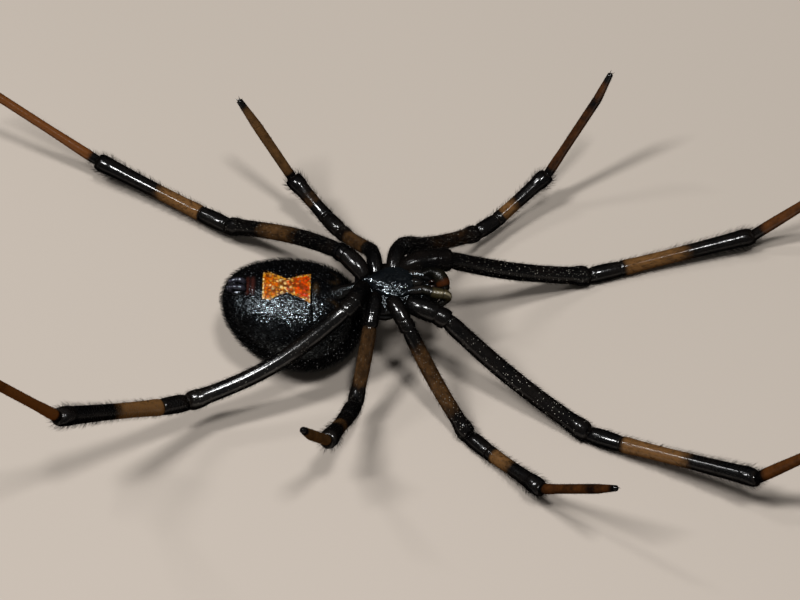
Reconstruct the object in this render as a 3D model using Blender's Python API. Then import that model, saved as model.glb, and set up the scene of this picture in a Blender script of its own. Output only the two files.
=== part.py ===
import math

import bmesh
import bpy
from mathutils import Matrix
from mathutils import Vector

for old in list(bpy.data.objects):
    bpy.data.objects.remove(old, do_unlink=True)

# Black widow spider at life size, lying belly up as it hangs in its web.
# +X is forward, +Z is the belly side, and the spider's left side is -Y.
# Sizes are in millimetres and angles in degrees; MM turns them into metres.
MM = 0.001
GAP = 0.15
LENS_GAP = 0.03
SINK = 0.03

# Body
STERNUM_AT = Vector((3.7, 0.0, 5.4))
BODY_DIP = 3.0
STERNUM_LENGTH = 2.35
STERNUM_WIDTH = 1.7
STERNUM_DEPTH = 0.78
CARAPACE_REAR = -1.5
CARAPACE_FRONT = 2.4
CARAPACE_EDGE = -0.98
CARAPACE_HALF = 1.52
HEAD_HALF = 0.8
DOME = 0.72
ABDOMEN_X = -0.77
ABDOMEN_HALF_LENGTH = 3.3
ABDOMEN_HALF_WIDTH = 2.78
ABDOMEN_BELLY = 2.55
ABDOMEN_BACK = 2.36
FURROW_X = 0.18
FURROW_DEEP = 0.07

# Hourglass mark, measured from the furrow backwards
MARK_LENGTH = 2.24
MARK_FRONT_HALF = 0.84
MARK_WAIST_HALF = 0.43
MARK_REAR_HALF = 0.74
MARK_THICK = 0.25
MARK_GAP = 0.08

# Leg segments, front pair to rear pair: coxa, trochanter, femur, patella, tibia, metatarsus, tarsus
LEG_LENGTHS = {
    1: (1.2, 0.6, 8.6, 1.65, 6.8, 8.2, 2.4),
    2: (1.0, 0.5, 5.95, 1.3, 3.45, 4.7, 1.6),
    3: (0.9, 0.5, 3.8, 1.2, 2.7, 3.25, 1.6),
    4: (1.1, 0.55, 8.45, 1.55, 6.1, 6.4, 1.9),
}
LEG_THICK = {1: 0.44, 2: 0.38, 3: 0.35, 4: 0.41}
SHIN_THICK = {1: 0.46, 2: 0.43, 3: 0.45, 4: 0.47}
COXA_THICK = {1: 0.5, 2: 0.4, 3: 0.36, 4: 0.46}
# Where each coxa leaves the sternum: forward, sideways, up
LEG_ROOTS = {
    1: (1.15, 1.12, -0.35),
    2: (0.3, 1.05, -0.3),
    3: (-0.55, 0.85, -0.35),
    4: (-1.2, 0.55, -0.1),
}
# Coxa heading and rise, femur heading and rise, lean of the leg's plane, then the bends at the
# patella, tibia, metatarsus and tarsus. A heading is turned from forward towards +Y.
POSES = {
    ("left", 1): (-17, -11, -29, -29, -4, 39, 5, 44, 4),
    ("left", 2): (-60, -17, -49, -43, -4, 50, 7, 38, 1),
    ("left", 3): (-99, -8, -106, -47, 4, 70, 11, 28, 3),
    ("left", 4): (-112, 14, -158, -22, -11, 51, 9, 31, 4),
    ("right", 1): (7, 10, 18, -31, 7, 34, 3, 39, 4),
    ("right", 2): (79, -11, 41, -35, 2, 31, 21, 35, 12),
    ("right", 3): (97, -10, 119, -37, -15, 32, 20, 39, -4),
    ("right", 4): (133, 1, 141, -31, -17, 30, 7, 23, 4),
}
# The knees that lie on the floor
RESTING = (("left", 1), ("left", 2), ("right", 1))
# How far the femur bows towards the back, and the rear pair's also outwards, as parts of its length
BOW = 0.04
REAR_BOW_ASIDE = 0.047
LEG_SIDES = 14
THINNEST = 0.25

# Radius along each segment, as (part of its length, part of the thickness above)
COXA = ((0.0, 0.74), (0.3, 0.93), (0.6, 1.0), (0.88, 0.96))
TROCHANTER = ((0.0, 0.88), (0.4, 0.95), (0.75, 0.97), (1.0, 0.88))
FEMUR = (
    (0.0, 0.82),
    (0.05, 0.92),
    (0.2, 0.97),
    (0.45, 0.99),
    (0.7, 0.97),
    (0.87, 0.99),
    (0.95, 1.05),
    (1.0, 0.92),
)
PATELLA = ((0.0, 0.78), (0.15, 0.86), (0.45, 0.9), (0.82, 0.86))
TIBIA = (
    (0.0, 0.84),
    (0.06, 0.85),
    (0.25, 0.78),
    (0.5, 0.79),
    (0.75, 0.86),
    (0.93, 0.9),
    (1.0, 0.8),
)
METATARSUS = ((0.0, 0.62), (0.05, 0.66), (0.4, 0.6), (0.95, 0.57))
TARSUS = ((0.0, 0.57), (0.35, 0.5), (0.75, 0.4), (0.93, 0.32))

# Pedipalps: forward, sideways (outwards), up, radius
PALP_LEFT = (
    (1.62, 0.42, -0.12, 0.2),
    (1.95, 0.52, -0.15, 0.24),
    (2.3, 0.58, -0.19, 0.25),
    (2.56, 0.58, -0.225, 0.245),
    (2.7, 0.585, -0.27, 0.235),
    (2.79, 0.6, -0.37, 0.215),
    (2.8, 0.62, -0.5, 0.19),
    (2.73, 0.66, -0.61, 0.18),
    (2.57, 0.73, -0.73, 0.175),
    (2.37, 0.84, -0.86, 0.13),
    (2.27, 0.9, -0.94, 0.06),
)
PALP_RIGHT = (
    (1.62, 0.42, -0.12, 0.2),
    (1.9, 0.53, -0.1, 0.24),
    (2.18, 0.56, -0.11, 0.255),
    (2.44, 0.47, -0.17, 0.26),
    (2.62, 0.27, -0.28, 0.255),
    (2.7, 0.04, -0.4, 0.235),
    (2.73, -0.15, -0.5, 0.18),
    (2.71, -0.28, -0.57, 0.08),
)

# Eyes: row, outward place, size
EYES = {
    "anterior_median": (0.93, 0.13, 0.1),
    "anterior_lateral": (0.9, 0.44, 0.09),
    "posterior_median": (0.66, 0.17, 0.1),
    "posterior_lateral": (0.68, 0.56, 0.09),
}

BLACK = (0.012, 0.012, 0.014)
BROWN_BLACK = (0.045, 0.022, 0.012)
AMBER = (0.16, 0.075, 0.03)
RUST = (0.2, 0.08, 0.03)
RED = (0.75, 0.12, 0.01)
EYE = (0.03, 0.02, 0.015)


def material(name, colour, rough):
    made = bpy.data.materials.new(name)
    made.use_nodes = True
    shader = made.node_tree.nodes["Principled BSDF"]
    shader.inputs["Base Color"].default_value = (*colour, 1.0)
    shader.inputs["Roughness"].default_value = rough
    made.diffuse_color = (*colour, 1.0)
    return made


def add(name, mesh, colour, rough=0.25):
    """One node. The mesh is in millimetres until here."""
    mesh.transform(Matrix.Scale(MM, 4))
    for face in mesh.polygons:
        face.use_smooth = True
    node = bpy.data.objects.new(name, mesh)
    bpy.context.scene.collection.objects.link(node)
    mesh.materials.clear()
    mesh.materials.append(material(name, colour, rough))
    return node


def closed_mesh(points, faces):
    mesh = bpy.data.meshes.new("solid")
    mesh.from_pydata([tuple(p) for p in points], [], faces)
    work = bmesh.new()
    work.from_mesh(mesh)
    bmesh.ops.triangulate(work, faces=[f for f in work.faces if len(f.verts) > 4])
    bmesh.ops.recalc_face_normals(work, faces=work.faces)
    work.to_mesh(mesh)
    work.free()
    return mesh


def loft(rings):
    """Closed solid through rings of as many points each, with a fan over each end."""
    count = len(rings[0])
    points = [p for ring in rings for p in ring]
    faces = []
    for i in range(len(rings) - 1):
        for j in range(count):
            k = (j + 1) % count
            a = i * count
            b = a + count
            faces.append((a + j, a + k, b + k, b + j))
    for first, ring in ((0, rings[0]), ((len(rings) - 1) * count, rings[-1])):
        points.append(sum(ring, Vector()) / count)
        for j in range(count):
            faces.append((first + j, first + (j + 1) % count, len(points) - 1))
    return closed_mesh(points, faces)


def tube(path, sides, flat=1.0):
    """Loft of round rings along (forward, sideways, up, radius) stations."""
    rings = []
    across = None
    for i, station in enumerate(path):
        before = Vector(path[max(i - 1, 0)][:3])
        after = Vector(path[min(i + 1, len(path) - 1)][:3])
        along = (after - before).normalized()
        if across is None:
            across = along.cross(Vector((0.0, 0.0, 1.0)))
            if across.length < 0.1:
                across = along.cross(Vector((0.0, 1.0, 0.0)))
        across = (across - along * across.dot(along)).normalized()
        other = along.cross(across)
        ring = []
        for j in range(sides):
            turn = 2 * math.pi * j / sides
            out = across * math.cos(turn) + other * (math.sin(turn) * flat)
            ring.append(Vector(station[:3]) + out * station[3])
        rings.append(ring)
    return loft(rings)


def temporary(mesh):
    node = bpy.data.objects.new("cutter", mesh)
    node.hide_render = True
    node.display_type = "WIRE"
    bpy.context.scene.collection.objects.link(node)
    return node


def combine(mesh, others, operation):
    """The mesh with each of the others cut from it or joined to it."""
    node = temporary(mesh)
    tools = [temporary(other) for other in others]
    for tool in tools:
        step = node.modifiers.new("step", "BOOLEAN")
        step.operation = operation
        step.solver = "EXACT"
        step.object = tool
    bpy.context.view_layer.update()
    graph = bpy.context.evaluated_depsgraph_get()
    result = bpy.data.meshes.new_from_object(node.evaluated_get(graph))
    for used in [node, *tools]:
        bpy.data.objects.remove(used, do_unlink=True)
    return largest(result)


def largest(mesh):
    """Only the largest closed surface of the mesh."""
    work = bmesh.new()
    work.from_mesh(mesh)
    bmesh.ops.triangulate(work, faces=work.faces)
    bmesh.ops.remove_doubles(work, verts=work.verts, dist=0.0005)
    left = set(work.verts)
    shells = []
    while left:
        shell = {left.pop()}
        edge = list(shell)
        while edge:
            vert = edge.pop()
            for link in vert.link_edges:
                other = link.other_vert(vert)
                if other in left:
                    left.remove(other)
                    shell.add(other)
                    edge.append(other)
        shells.append(shell)
    shells.sort(key=len)
    for shell in shells[:-1]:
        bmesh.ops.delete(work, geom=list(shell), context="VERTS")
    work.to_mesh(mesh)
    work.free()
    return mesh


def grown(mesh, by):
    """A copy of the mesh with its surface moved out by this much."""
    copy = mesh.copy()
    work = bmesh.new()
    work.from_mesh(copy)
    work.normal_update()
    for vert in work.verts:
        vert.co = vert.co + vert.normal * by
    work.to_mesh(copy)
    work.free()
    return copy


def cut_at_floor(mesh):
    """Takes off what is below the floor, which leaves a small flat."""
    work = bmesh.new()
    work.from_mesh(mesh)
    if min(vert.co.z for vert in work.verts) < 0.0:
        geom = work.verts[:] + work.edges[:] + work.faces[:]
        made = bmesh.ops.bisect_plane(
            work, geom=geom, plane_co=(0, 0, 0), plane_no=(0, 0, 1), clear_inner=True
        )
        rim = [e for e in made["geom_cut"] if isinstance(e, bmesh.types.BMEdge)]
        bmesh.ops.contextual_create(work, geom=rim)
        bmesh.ops.triangulate(work, faces=work.faces)
        bmesh.ops.recalc_face_normals(work, faces=work.faces)
    work.to_mesh(mesh)
    work.free()
    return mesh


def smooth_step(value):
    value = min(max(value, 0.0), 1.0)
    return value * value * (3.0 - 2.0 * value)


BODY = Matrix.Rotation(math.radians(BODY_DIP), 3, "Y")


def in_body(forward, side, up):
    return STERNUM_AT + BODY @ Vector((forward, side, up))


def place_in_body(mesh):
    mesh.transform(Matrix.Translation(STERNUM_AT) @ BODY.to_4x4())
    return mesh


def direction(heading, rise):
    heading = math.radians(heading)
    rise = math.radians(rise)
    flat = math.cos(rise)
    return Vector((flat * math.cos(heading), flat * math.sin(heading), math.sin(rise)))


# Cephalothorax: the carapace is the back shell, and the sternum block fills the belly side.
def carapace_half_width(x):
    rear = math.sqrt(max(0.0, 1.0 - ((x + 0.1) / (CARAPACE_REAR + 0.1)) ** 2)) if x < -0.1 else 1.0
    rear = 0.42 + 0.58 * rear
    thorax = CARAPACE_HALF * rear
    blend = smooth_step((x + 0.1) / 1.55)
    return thorax + (HEAD_HALF - thorax) * blend


def carapace_point(x, turn):
    """Point on the dome, with turn from 0 at the right edge to pi at the left edge."""
    half = carapace_half_width(x)
    rise = smooth_step((x - CARAPACE_REAR) / 1.3)
    high = DOME * (0.35 + 0.65 * rise)
    high += 0.1 * math.exp(-(((x - 1.4) / 0.7) ** 2))
    nose = max(0.0, (x - 1.95) / (CARAPACE_FRONT - 1.95))
    round_off = math.sqrt(max(0.0, 1.0 - nose**2.2))
    half *= 0.3 + 0.7 * round_off
    high *= 0.32 + 0.68 * round_off
    side = half * math.cos(turn)
    top = math.sin(turn) ** 0.8
    pit = 0.2 * math.exp(-(((x + 0.3) / 0.22) ** 2) - (side / 0.3) ** 2)
    groove = 0.0
    for lean in (-1.25, -0.5, 0.25, 1.1):
        off = (x + 0.3) - lean * abs(side)
        groove += 0.05 * math.exp(-((off / 0.13) ** 2)) * smooth_step(abs(side) / 0.4)
    groove *= smooth_step((1.35 - abs(side)) / 0.4)
    return Vector((x, side, CARAPACE_EDGE - high * top + (pit + groove) * top))


def carapace_mesh():
    rings = []
    stations = 30
    for i in range(stations + 1):
        x = CARAPACE_REAR + (CARAPACE_FRONT - CARAPACE_REAR) * (1 - math.cos(math.pi * i / stations)) / 2
        ring = [carapace_point(x, math.pi * j / 24) for j in range(25)]
        left = ring[-1]
        right = ring[0]
        for j in range(1, 8):
            under = left.lerp(right, j / 8)
            under.z += 0.1 * math.sin(math.pi * j / 8)
            ring.append(under)
        rings.append(ring)
    return loft(rings)


def sternum_half_width(x):
    """Shield outline: blunt in front, pointed behind."""
    at = (x + STERNUM_LENGTH / 2) / STERNUM_LENGTH
    rear = smooth_step(at / 0.62) ** 0.75
    front = 1.0 - 0.32 * smooth_step((at - 0.68) / 0.34)
    return STERNUM_WIDTH / 2 * (0.14 + 0.86 * rear) * front


def sternum_mesh():
    rings = []
    for i in range(17):
        x = -STERNUM_LENGTH / 2 + STERNUM_LENGTH * i / 16
        half = sternum_half_width(x)
        end = 1.0 - 0.25 * abs(2 * i / 16 - 1) ** 4
        ring = []
        for j in range(9):
            y = half * math.cos(math.pi * j / 8)
            ring.append(Vector((x, y, -0.16 + 0.16 * end * math.sin(math.pi * j / 8) ** 0.7)))
        for j in range(5):
            ring.append(Vector((x, half * (0.25 * j - 0.5) * 1.9, -STERNUM_DEPTH)))
        rings.append(ring)
    return loft(rings)


def labium_mesh():
    path = ((1.05, 0.0, -0.2, 0.17), (1.3, 0.0, -0.18, 0.19), (1.5, 0.0, -0.2, 0.16), (1.6, 0.0, -0.24, 0.08))
    return tube(path, 12, 1.0)


def maxilla_mesh(side):
    path = (
        (1.0, 0.47, -0.24, 0.17),
        (1.3, 0.46, -0.18, 0.2),
        (1.6, 0.41, -0.16, 0.2),
        (1.85, 0.31, -0.2, 0.15),
        (1.98, 0.24, -0.24, 0.07),
    )
    return tube([(x, y * side, z, r) for x, y, z, r in path], 12, 0.9)


def chelicera_mesh(side):
    body = tube(
        [
            (2.0, 0.25 * side, -1.3, 0.2),
            (2.13, 0.28 * side, -1.02, 0.25),
            (2.23, 0.28 * side, -0.8, 0.26),
            (2.27, 0.27 * side, -0.6, 0.25),
            (2.25, 0.23 * side, -0.45, 0.2),
            (2.18, 0.2 * side, -0.35, 0.11),
        ],
        12,
    )
    fang = tube(
        [
            (2.22, 0.19 * side, -0.48, 0.09),
            (2.17, 0.17 * side, -0.3, 0.08),
            (2.05, 0.14 * side, -0.25, 0.06),
            (1.93, 0.11 * side, -0.29, 0.03),
        ],
        8,
    )
    return combine(body, [fang], "UNION")


def palp_mesh(path, side):
    return tube([(x, y * side, z, r) for x, y, z, r in path], 12)


# Abdomen: a globe that is fullest towards the front, with its tip high on the belly side.
def abdomen_section(x):
    """Centre height, belly half height, back half height and half width."""
    t = (x - ABDOMEN_X) / ABDOMEN_HALF_LENGTH
    t = min(max(t, -1.0), 1.0)
    ring = math.sqrt(max(0.0, 1.0 - t * t))
    centre = 2.38 - 0.78 * t + 0.62 * t * t
    belly = ABDOMEN_BELLY * ring**0.9 * (1 + 0.18 * t)
    back = ABDOMEN_BACK * ring**0.85 * (1 - 0.06 * t)
    half = ABDOMEN_HALF_WIDTH * ring**0.9 * (1 + 0.05 * t)
    return centre, belly, back, half


def belly_height(x, y):
    centre, belly, back, half = abdomen_section(x)
    return centre + belly * math.sqrt(max(0.0, 1.0 - (y / half) ** 2))


def abdomen_mesh():
    stations = [ABDOMEN_X + ABDOMEN_HALF_LENGTH * math.cos(math.pi * i / 30) for i in range(1, 30)]
    stations += [FURROW_X - 0.09, FURROW_X, FURROW_X + 0.09]
    stations.sort()
    rings = []
    for x in stations:
        centre, belly, back, half = abdomen_section(x)
        ring = []
        for j in range(36):
            turn = 2 * math.pi * j / 36
            up = math.sin(turn)
            dent = FURROW_DEEP * math.exp(-(((x - FURROW_X) / 0.07) ** 2)) * smooth_step((up - 0.72) / 0.12)
            reach = 1.0 - dent / belly if belly > 0 else 1.0
            tall = belly if up > 0 else back
            ring.append(Vector((x, half * math.cos(turn) * reach, centre + tall * up * reach)))
        rings.append(ring)
    return loft(rings)


def mark_mesh(margin, low, high):
    """The hourglass as a plate that follows the belly."""
    rows = 14
    columns = 8
    top = []
    bottom = []
    for i in range(rows + 1):
        back = -margin + (MARK_LENGTH + 2 * margin) * i / rows
        at = 2 * back / MARK_LENGTH - 1
        base = MARK_FRONT_HALF if at < 0 else MARK_REAR_HALF
        half = MARK_WAIST_HALF + (base - MARK_WAIST_HALF) * min(abs(at), 1.0) ** 1.3 + margin
        x = FURROW_X - 0.08 - back
        for j in range(columns + 1):
            y = half * (2 * j / columns - 1)
            z = belly_height(x, y)
            top.append(Vector((x, y, z + high)))
            bottom.append(Vector((x, y, z + low)))
    count = len(top)
    faces = []
    wide = columns + 1
    for i in range(rows):
        for j in range(columns):
            a = i * wide + j
            quad = (a, a + 1, a + wide + 1, a + wide)
            faces.append((quad[0], quad[1], quad[2]))
            faces.append((quad[0], quad[2], quad[3]))
            faces.append((quad[2] + count, quad[1] + count, quad[0] + count))
            faces.append((quad[3] + count, quad[2] + count, quad[0] + count))
    for i in range(rows):
        for a, b in ((i * wide, (i + 1) * wide), (i * wide + columns, (i + 1) * wide + columns)):
            faces.append((a, b, b + count, a + count))
    for j in range(columns):
        for a, b in ((j, j + 1), (rows * wide + j, rows * wide + j + 1)):
            faces.append((a, b, b + count, a + count))
    return closed_mesh(top + bottom, faces)


def spinnerets_mesh():
    """A low ring with three pairs of spinnerets, along its own +Z."""
    base = tube([(0, 0, -0.5, 0.5), (0, 0, 0.0, 0.52), (0, 0, 0.14, 0.47), (0, 0, 0.16, 0.4)], 20)
    cones = []
    for forward, side, high, thick in ((0.24, 0.2, 0.5, 0.19), (-0.02, 0.14, 0.36, 0.12), (-0.24, 0.19, 0.46, 0.16)):
        for way in (-1, 1):
            lean = 0.08 * way
            path = [
                (forward, side * way, -0.1, thick),
                (forward * 0.95, side * way + lean * 0.2, high * 0.55, thick),
                (forward * 0.85, side * way, high * 0.85, thick * 0.75),
                (forward * 0.75, side * way - lean * 0.3, high, thick * 0.4),
            ]
            cones.append(tube(path, 10))
    mesh = combine(base, cones, "UNION")
    t = -0.81
    x = ABDOMEN_X + ABDOMEN_HALF_LENGTH * t
    here = Vector((x, 0, belly_height(x, 0)))
    ahead = Vector((x + 0.1, 0, belly_height(x + 0.1, 0)))
    along = (ahead - here).normalized()
    up = along.cross(Vector((0, 1, 0))).normalized()
    if up.z < 0:
        up.negate()
    turn = Matrix((along, up.cross(along), up)).transposed().to_4x4()
    mesh.transform(Matrix.Translation(here + up * 0.02) @ turn)
    return mesh


# Legs
def turned(vector, axis, angle):
    return Matrix.Rotation(math.radians(angle), 3, axis) @ vector


def leg_joints(side, pair):
    """The eight points of the leg's middle line from its root to its tip, and its hinge axis."""
    way = -1 if side == "left" else 1
    lengths = LEG_LENGTHS[pair]
    root = LEG_ROOTS[pair]
    heading, rise, femur_heading, femur_rise, lean, *bends = POSES[side, pair]
    start = in_body(root[0], root[1] * way, root[2])
    coxa = BODY @ direction(heading, rise)
    knee = LEG_THICK[pair] - SINK
    for _ in range(8):
        femur = direction(femur_heading, femur_rise)
        trochanter = (coxa + femur).normalized()
        points = [start, start + coxa * lengths[0]]
        points.append(points[-1] + trochanter * lengths[1])
        if (side, pair) not in RESTING:
            break
        femur_rise = -math.degrees(math.asin((points[-1].z - knee) / lengths[2]))
    hinge = femur.cross(Vector((0, 0, 1))).normalized()
    hinge = turned(hinge, femur, lean)
    points.append(points[-1] + femur * lengths[2])
    angle = 0.0
    for bend, length in zip(bends, lengths[3:]):
        angle += bend
        points.append(points[-1] + turned(femur, hinge, angle) * length)
    return points, hinge


def leg_node(joints, hinge, segments, thick, first, last, bow):
    """Solid from joint first to joint last, with its open ends cut on the joints' middle planes."""
    axes = [(b - a).normalized() for a, b in zip(joints, joints[1:])]
    rings = []
    for k in range(first, last):
        along = axes[k]
        length = (joints[k + 1] - joints[k]).length
        across = (hinge - along * hinge.dot(along)).normalized()
        belly = across.cross(along).normalized()
        planes = []
        for joint in (k, k + 1):
            if joint == 0 or joint >= len(axes):
                planes.append(along)
            else:
                planes.append((axes[joint - 1] + axes[joint]).normalized())
        profile = segments[k - first]
        if k < last - 1:
            profile = [p for p in profile if p[0] < 0.999]
        for part, size in profile:
            least = THINNEST if k < 6 else THINNEST * (1.0 - 0.45 * part)
            radius = max(size * thick, least)
            at = part * length
            if k == first and first > 0:
                at = max(at, GAP / 2 + part * 0.01)
            if k == last - 1 and last < len(axes):
                at = min(at, length - GAP / 2 - (1 - part) * 0.01)
            middle = joints[k] + along * at
            middle += (across * bow[1] - belly * bow[0]) * (length * math.sin(math.pi * at / length))
            ring = []
            reach = 2.0 * radius
            for j in range(LEG_SIDES):
                turn = 2 * math.pi * j / LEG_SIDES
                out = (across * math.cos(turn) + belly * math.sin(turn)) * radius
                shift = 0.0
                for plane, far in ((planes[0], at), (planes[1], length - at)):
                    fade = max(0.0, 1.0 - far / reach)
                    shift -= plane.dot(out) / plane.dot(along) * fade
                ring.append(middle + out + along * shift)
            rings.append(ring)
    if last == len(axes):
        tip = joints[last]
        ring = [tip + (p - sum(rings[-1], Vector()) / LEG_SIDES) * 0.35 for p in rings[-1]]
        rings.append(ring)
    return loft(rings)


def build_body():
    carapace = place_in_body(carapace_mesh())
    whole_sternum = place_in_body(sternum_mesh())
    sternum = combine(whole_sternum.copy(), [grown(carapace, GAP)], "DIFFERENCE")
    abdomen = cut_at_floor(abdomen_mesh())

    labium = place_in_body(labium_mesh())
    labium = combine(labium, [grown(whole_sternum, GAP)], "DIFFERENCE")
    add("labium", labium, BROWN_BLACK)
    for side, way, path in (("left", -1, PALP_LEFT), ("right", 1, PALP_RIGHT)):
        maxilla = place_in_body(maxilla_mesh(way))
        maxilla = combine(maxilla, [grown(whole_sternum, GAP)], "DIFFERENCE")
        palp = place_in_body(palp_mesh(path, way))
        palp = combine(palp, [grown(maxilla, GAP * 0.6)], "DIFFERENCE")
        chelicera = place_in_body(chelicera_mesh(way))
        near = [grown(carapace, GAP), grown(palp, GAP * 0.6), grown(maxilla, GAP * 0.6)]
        chelicera = combine(chelicera, near, "DIFFERENCE")
        add("maxilla_" + side, maxilla, BROWN_BLACK)
        add("palp_" + side, palp, AMBER)
        add("chelicera_" + side, chelicera, BROWN_BLACK)

    pedicel = tube([(-1.1, 0, -0.62, 0.3), (-1.5, 0, -0.78, 0.27), (-1.9, 0, -1.05, 0.3), (-2.4, 0, -1.5, 0.42)], 14)
    pedicel = place_in_body(pedicel)
    pedicel = combine(
        pedicel, [grown(carapace, GAP), grown(whole_sternum, GAP), grown(abdomen, GAP)], "DIFFERENCE"
    )
    add("pedicel", pedicel, BLACK)
    spinnerets = combine(spinnerets_mesh(), [grown(abdomen, GAP * 0.5)], "DIFFERENCE")
    add("spinnerets", spinnerets, BROWN_BLACK)
    recess = mark_mesh(MARK_GAP, -MARK_THICK - MARK_GAP, 0.6)
    add("abdomen", combine(abdomen, [recess], "DIFFERENCE"), BLACK, 0.2)
    add("hourglass", mark_mesh(0.0, -MARK_THICK, 0.02), RED, 0.4)

    for name, (row, side, size) in EYES.items():
        for label, way in (("left", -1), ("right", 1)):
            x = CARAPACE_FRONT - 0.02 - (1 - row) * 0.9
            turn = math.acos(min(0.95, side / max(0.2, abs(carapace_point(x, 0).y))))
            here = carapace_point(x, turn)
            along = carapace_point(x + 0.01, turn) - here
            around = carapace_point(x, turn + 0.01) - here
            out = along.cross(around).normalized()
            if out.z > 0:
                out.negate()
            here.y *= -way if here.y < 0 else way
            out.y = abs(out.y) * way
            path = []
            for high, part in ((-0.6, 0.8), (0.0, 1.0), (0.5, 0.86), (0.85, 0.5)):
                path.append((*(here + out * (high * size)), size * part))
            lens = place_in_body(tube(path, 12))
            lens = combine(lens, [grown(carapace, LENS_GAP)], "DIFFERENCE")
            add("eye_" + name + "_" + label, lens, EYE, 0.05)
    add("carapace", carapace.copy(), BLACK)
    add("sternum", sternum, BLACK)
    return [grown(whole_sternum, GAP), grown(carapace, GAP)]


def build_legs(walls):
    for side, pair in POSES:
        joints, hinge = leg_joints(side, pair)
        thick = LEG_THICK[pair]
        name = "leg_" + side + "_" + str(pair) + "_"
        inner = joints[0] - (joints[1] - joints[0]).normalized() * 0.3
        coxa = leg_node([inner] + joints[1:], hinge, (COXA, TROCHANTER), COXA_THICK[pair], 0, 2, (0.0, 0.0))
        coxa = combine(coxa, [wall.copy() for wall in walls], "DIFFERENCE")
        femur_colour = AMBER if pair in (2, 3) else BLACK
        add(name + "coxa", coxa, BLACK)
        aside = REAR_BOW_ASIDE * (-1 if side == "left" else 1) if pair == 4 else 0.0
        femur = leg_node(joints, hinge, (FEMUR,), thick, 2, 3, (BOW, aside))
        add(name + "femur", cut_at_floor(femur), femur_colour)
        tibia = leg_node(joints, hinge, (PATELLA, TIBIA), SHIN_THICK[pair], 3, 5, (0.0, 0.0))
        add(name + "tibia", cut_at_floor(tibia), BROWN_BLACK)
        tarsus = leg_node(joints, hinge, (METATARSUS, TARSUS), thick, 5, 7, (0.0, 0.0))
        add(name + "tarsus", tarsus, RUST)


build_legs(build_body())
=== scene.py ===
import math

import bpy
import numpy as np
from mathutils import Matrix
from mathutils import Vector


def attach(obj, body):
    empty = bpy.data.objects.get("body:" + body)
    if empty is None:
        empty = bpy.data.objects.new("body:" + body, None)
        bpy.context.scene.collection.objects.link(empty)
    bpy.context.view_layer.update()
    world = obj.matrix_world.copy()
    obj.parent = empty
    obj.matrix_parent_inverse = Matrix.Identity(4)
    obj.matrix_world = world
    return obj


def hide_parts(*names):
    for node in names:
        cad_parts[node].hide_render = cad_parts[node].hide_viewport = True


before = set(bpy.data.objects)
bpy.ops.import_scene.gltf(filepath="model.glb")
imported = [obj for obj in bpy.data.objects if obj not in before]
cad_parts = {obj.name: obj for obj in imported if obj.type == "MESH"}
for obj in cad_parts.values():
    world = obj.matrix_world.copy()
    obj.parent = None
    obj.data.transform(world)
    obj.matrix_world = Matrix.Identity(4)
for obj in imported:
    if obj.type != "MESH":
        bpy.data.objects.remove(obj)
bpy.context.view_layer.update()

# Abdomen
# A round bag of thin, glossy black cuticle, fullest towards the front and lying on its back.
# The furrow, the lip of the genital plate and the lung covers are folds in the same skin.
# The hourglass is pigment under clear cuticle, so its surface runs on without a step.
MM = 0.001
# Lengths are in millimetres. X runs to the head, Y to the animal's right and Z up, to its belly side.
ABDOMEN_X = -0.77
ABDOMEN_HALF_LENGTH = 3.3
ABDOMEN_SIDES = 156
FURROW_X = 0.18
LUNG_X = 0.86
LUNG_SIDE = 0.98
REAR_FOLD_X = -3.02
random = np.random.default_rng(1877)


def step_up(value):
    """A smooth step that is 0 below 0 and 1 above 1."""
    value = np.clip(value, 0.0, 1.0)
    return value * value * (3.0 - 2.0 * value)


def hump(value, width):
    """1 where the value is 0, falling to nothing within about twice the width."""
    return np.exp(-((value / width) ** 2))


def abdomen_section(x):
    """Centre height, belly half height, back half height and half width."""
    t = np.clip((x - ABDOMEN_X) / ABDOMEN_HALF_LENGTH, -1.0, 1.0)
    ring = np.sqrt(np.maximum(0.0, 1.0 - t * t))
    centre = 2.38 - 0.78 * t + 0.62 * t * t
    belly = 2.55 * ring**0.9 * (1 + 0.18 * t)
    back = 2.36 * ring**0.85 * (1 - 0.06 * t)
    half = 2.78 * ring**0.9 * (1 + 0.05 * t)
    return centre, belly, back, half


def belly_height(x, y):
    """Height of the belly side above the floor, without its folds."""
    centre, belly, _, half = abdomen_section(x)
    return centre + belly * np.sqrt(np.maximum(0.0, 1.0 - (y / half) ** 2))


def lung_distance(x, y):
    """How far a place is from the middle of the right lung cover, as 1 at the cover's edge."""
    ahead = x - LUNG_X
    return np.sqrt((ahead / 0.52) ** 2 + ((y - LUNG_SIDE + 0.2 * ahead) / 0.44) ** 2)


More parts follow.
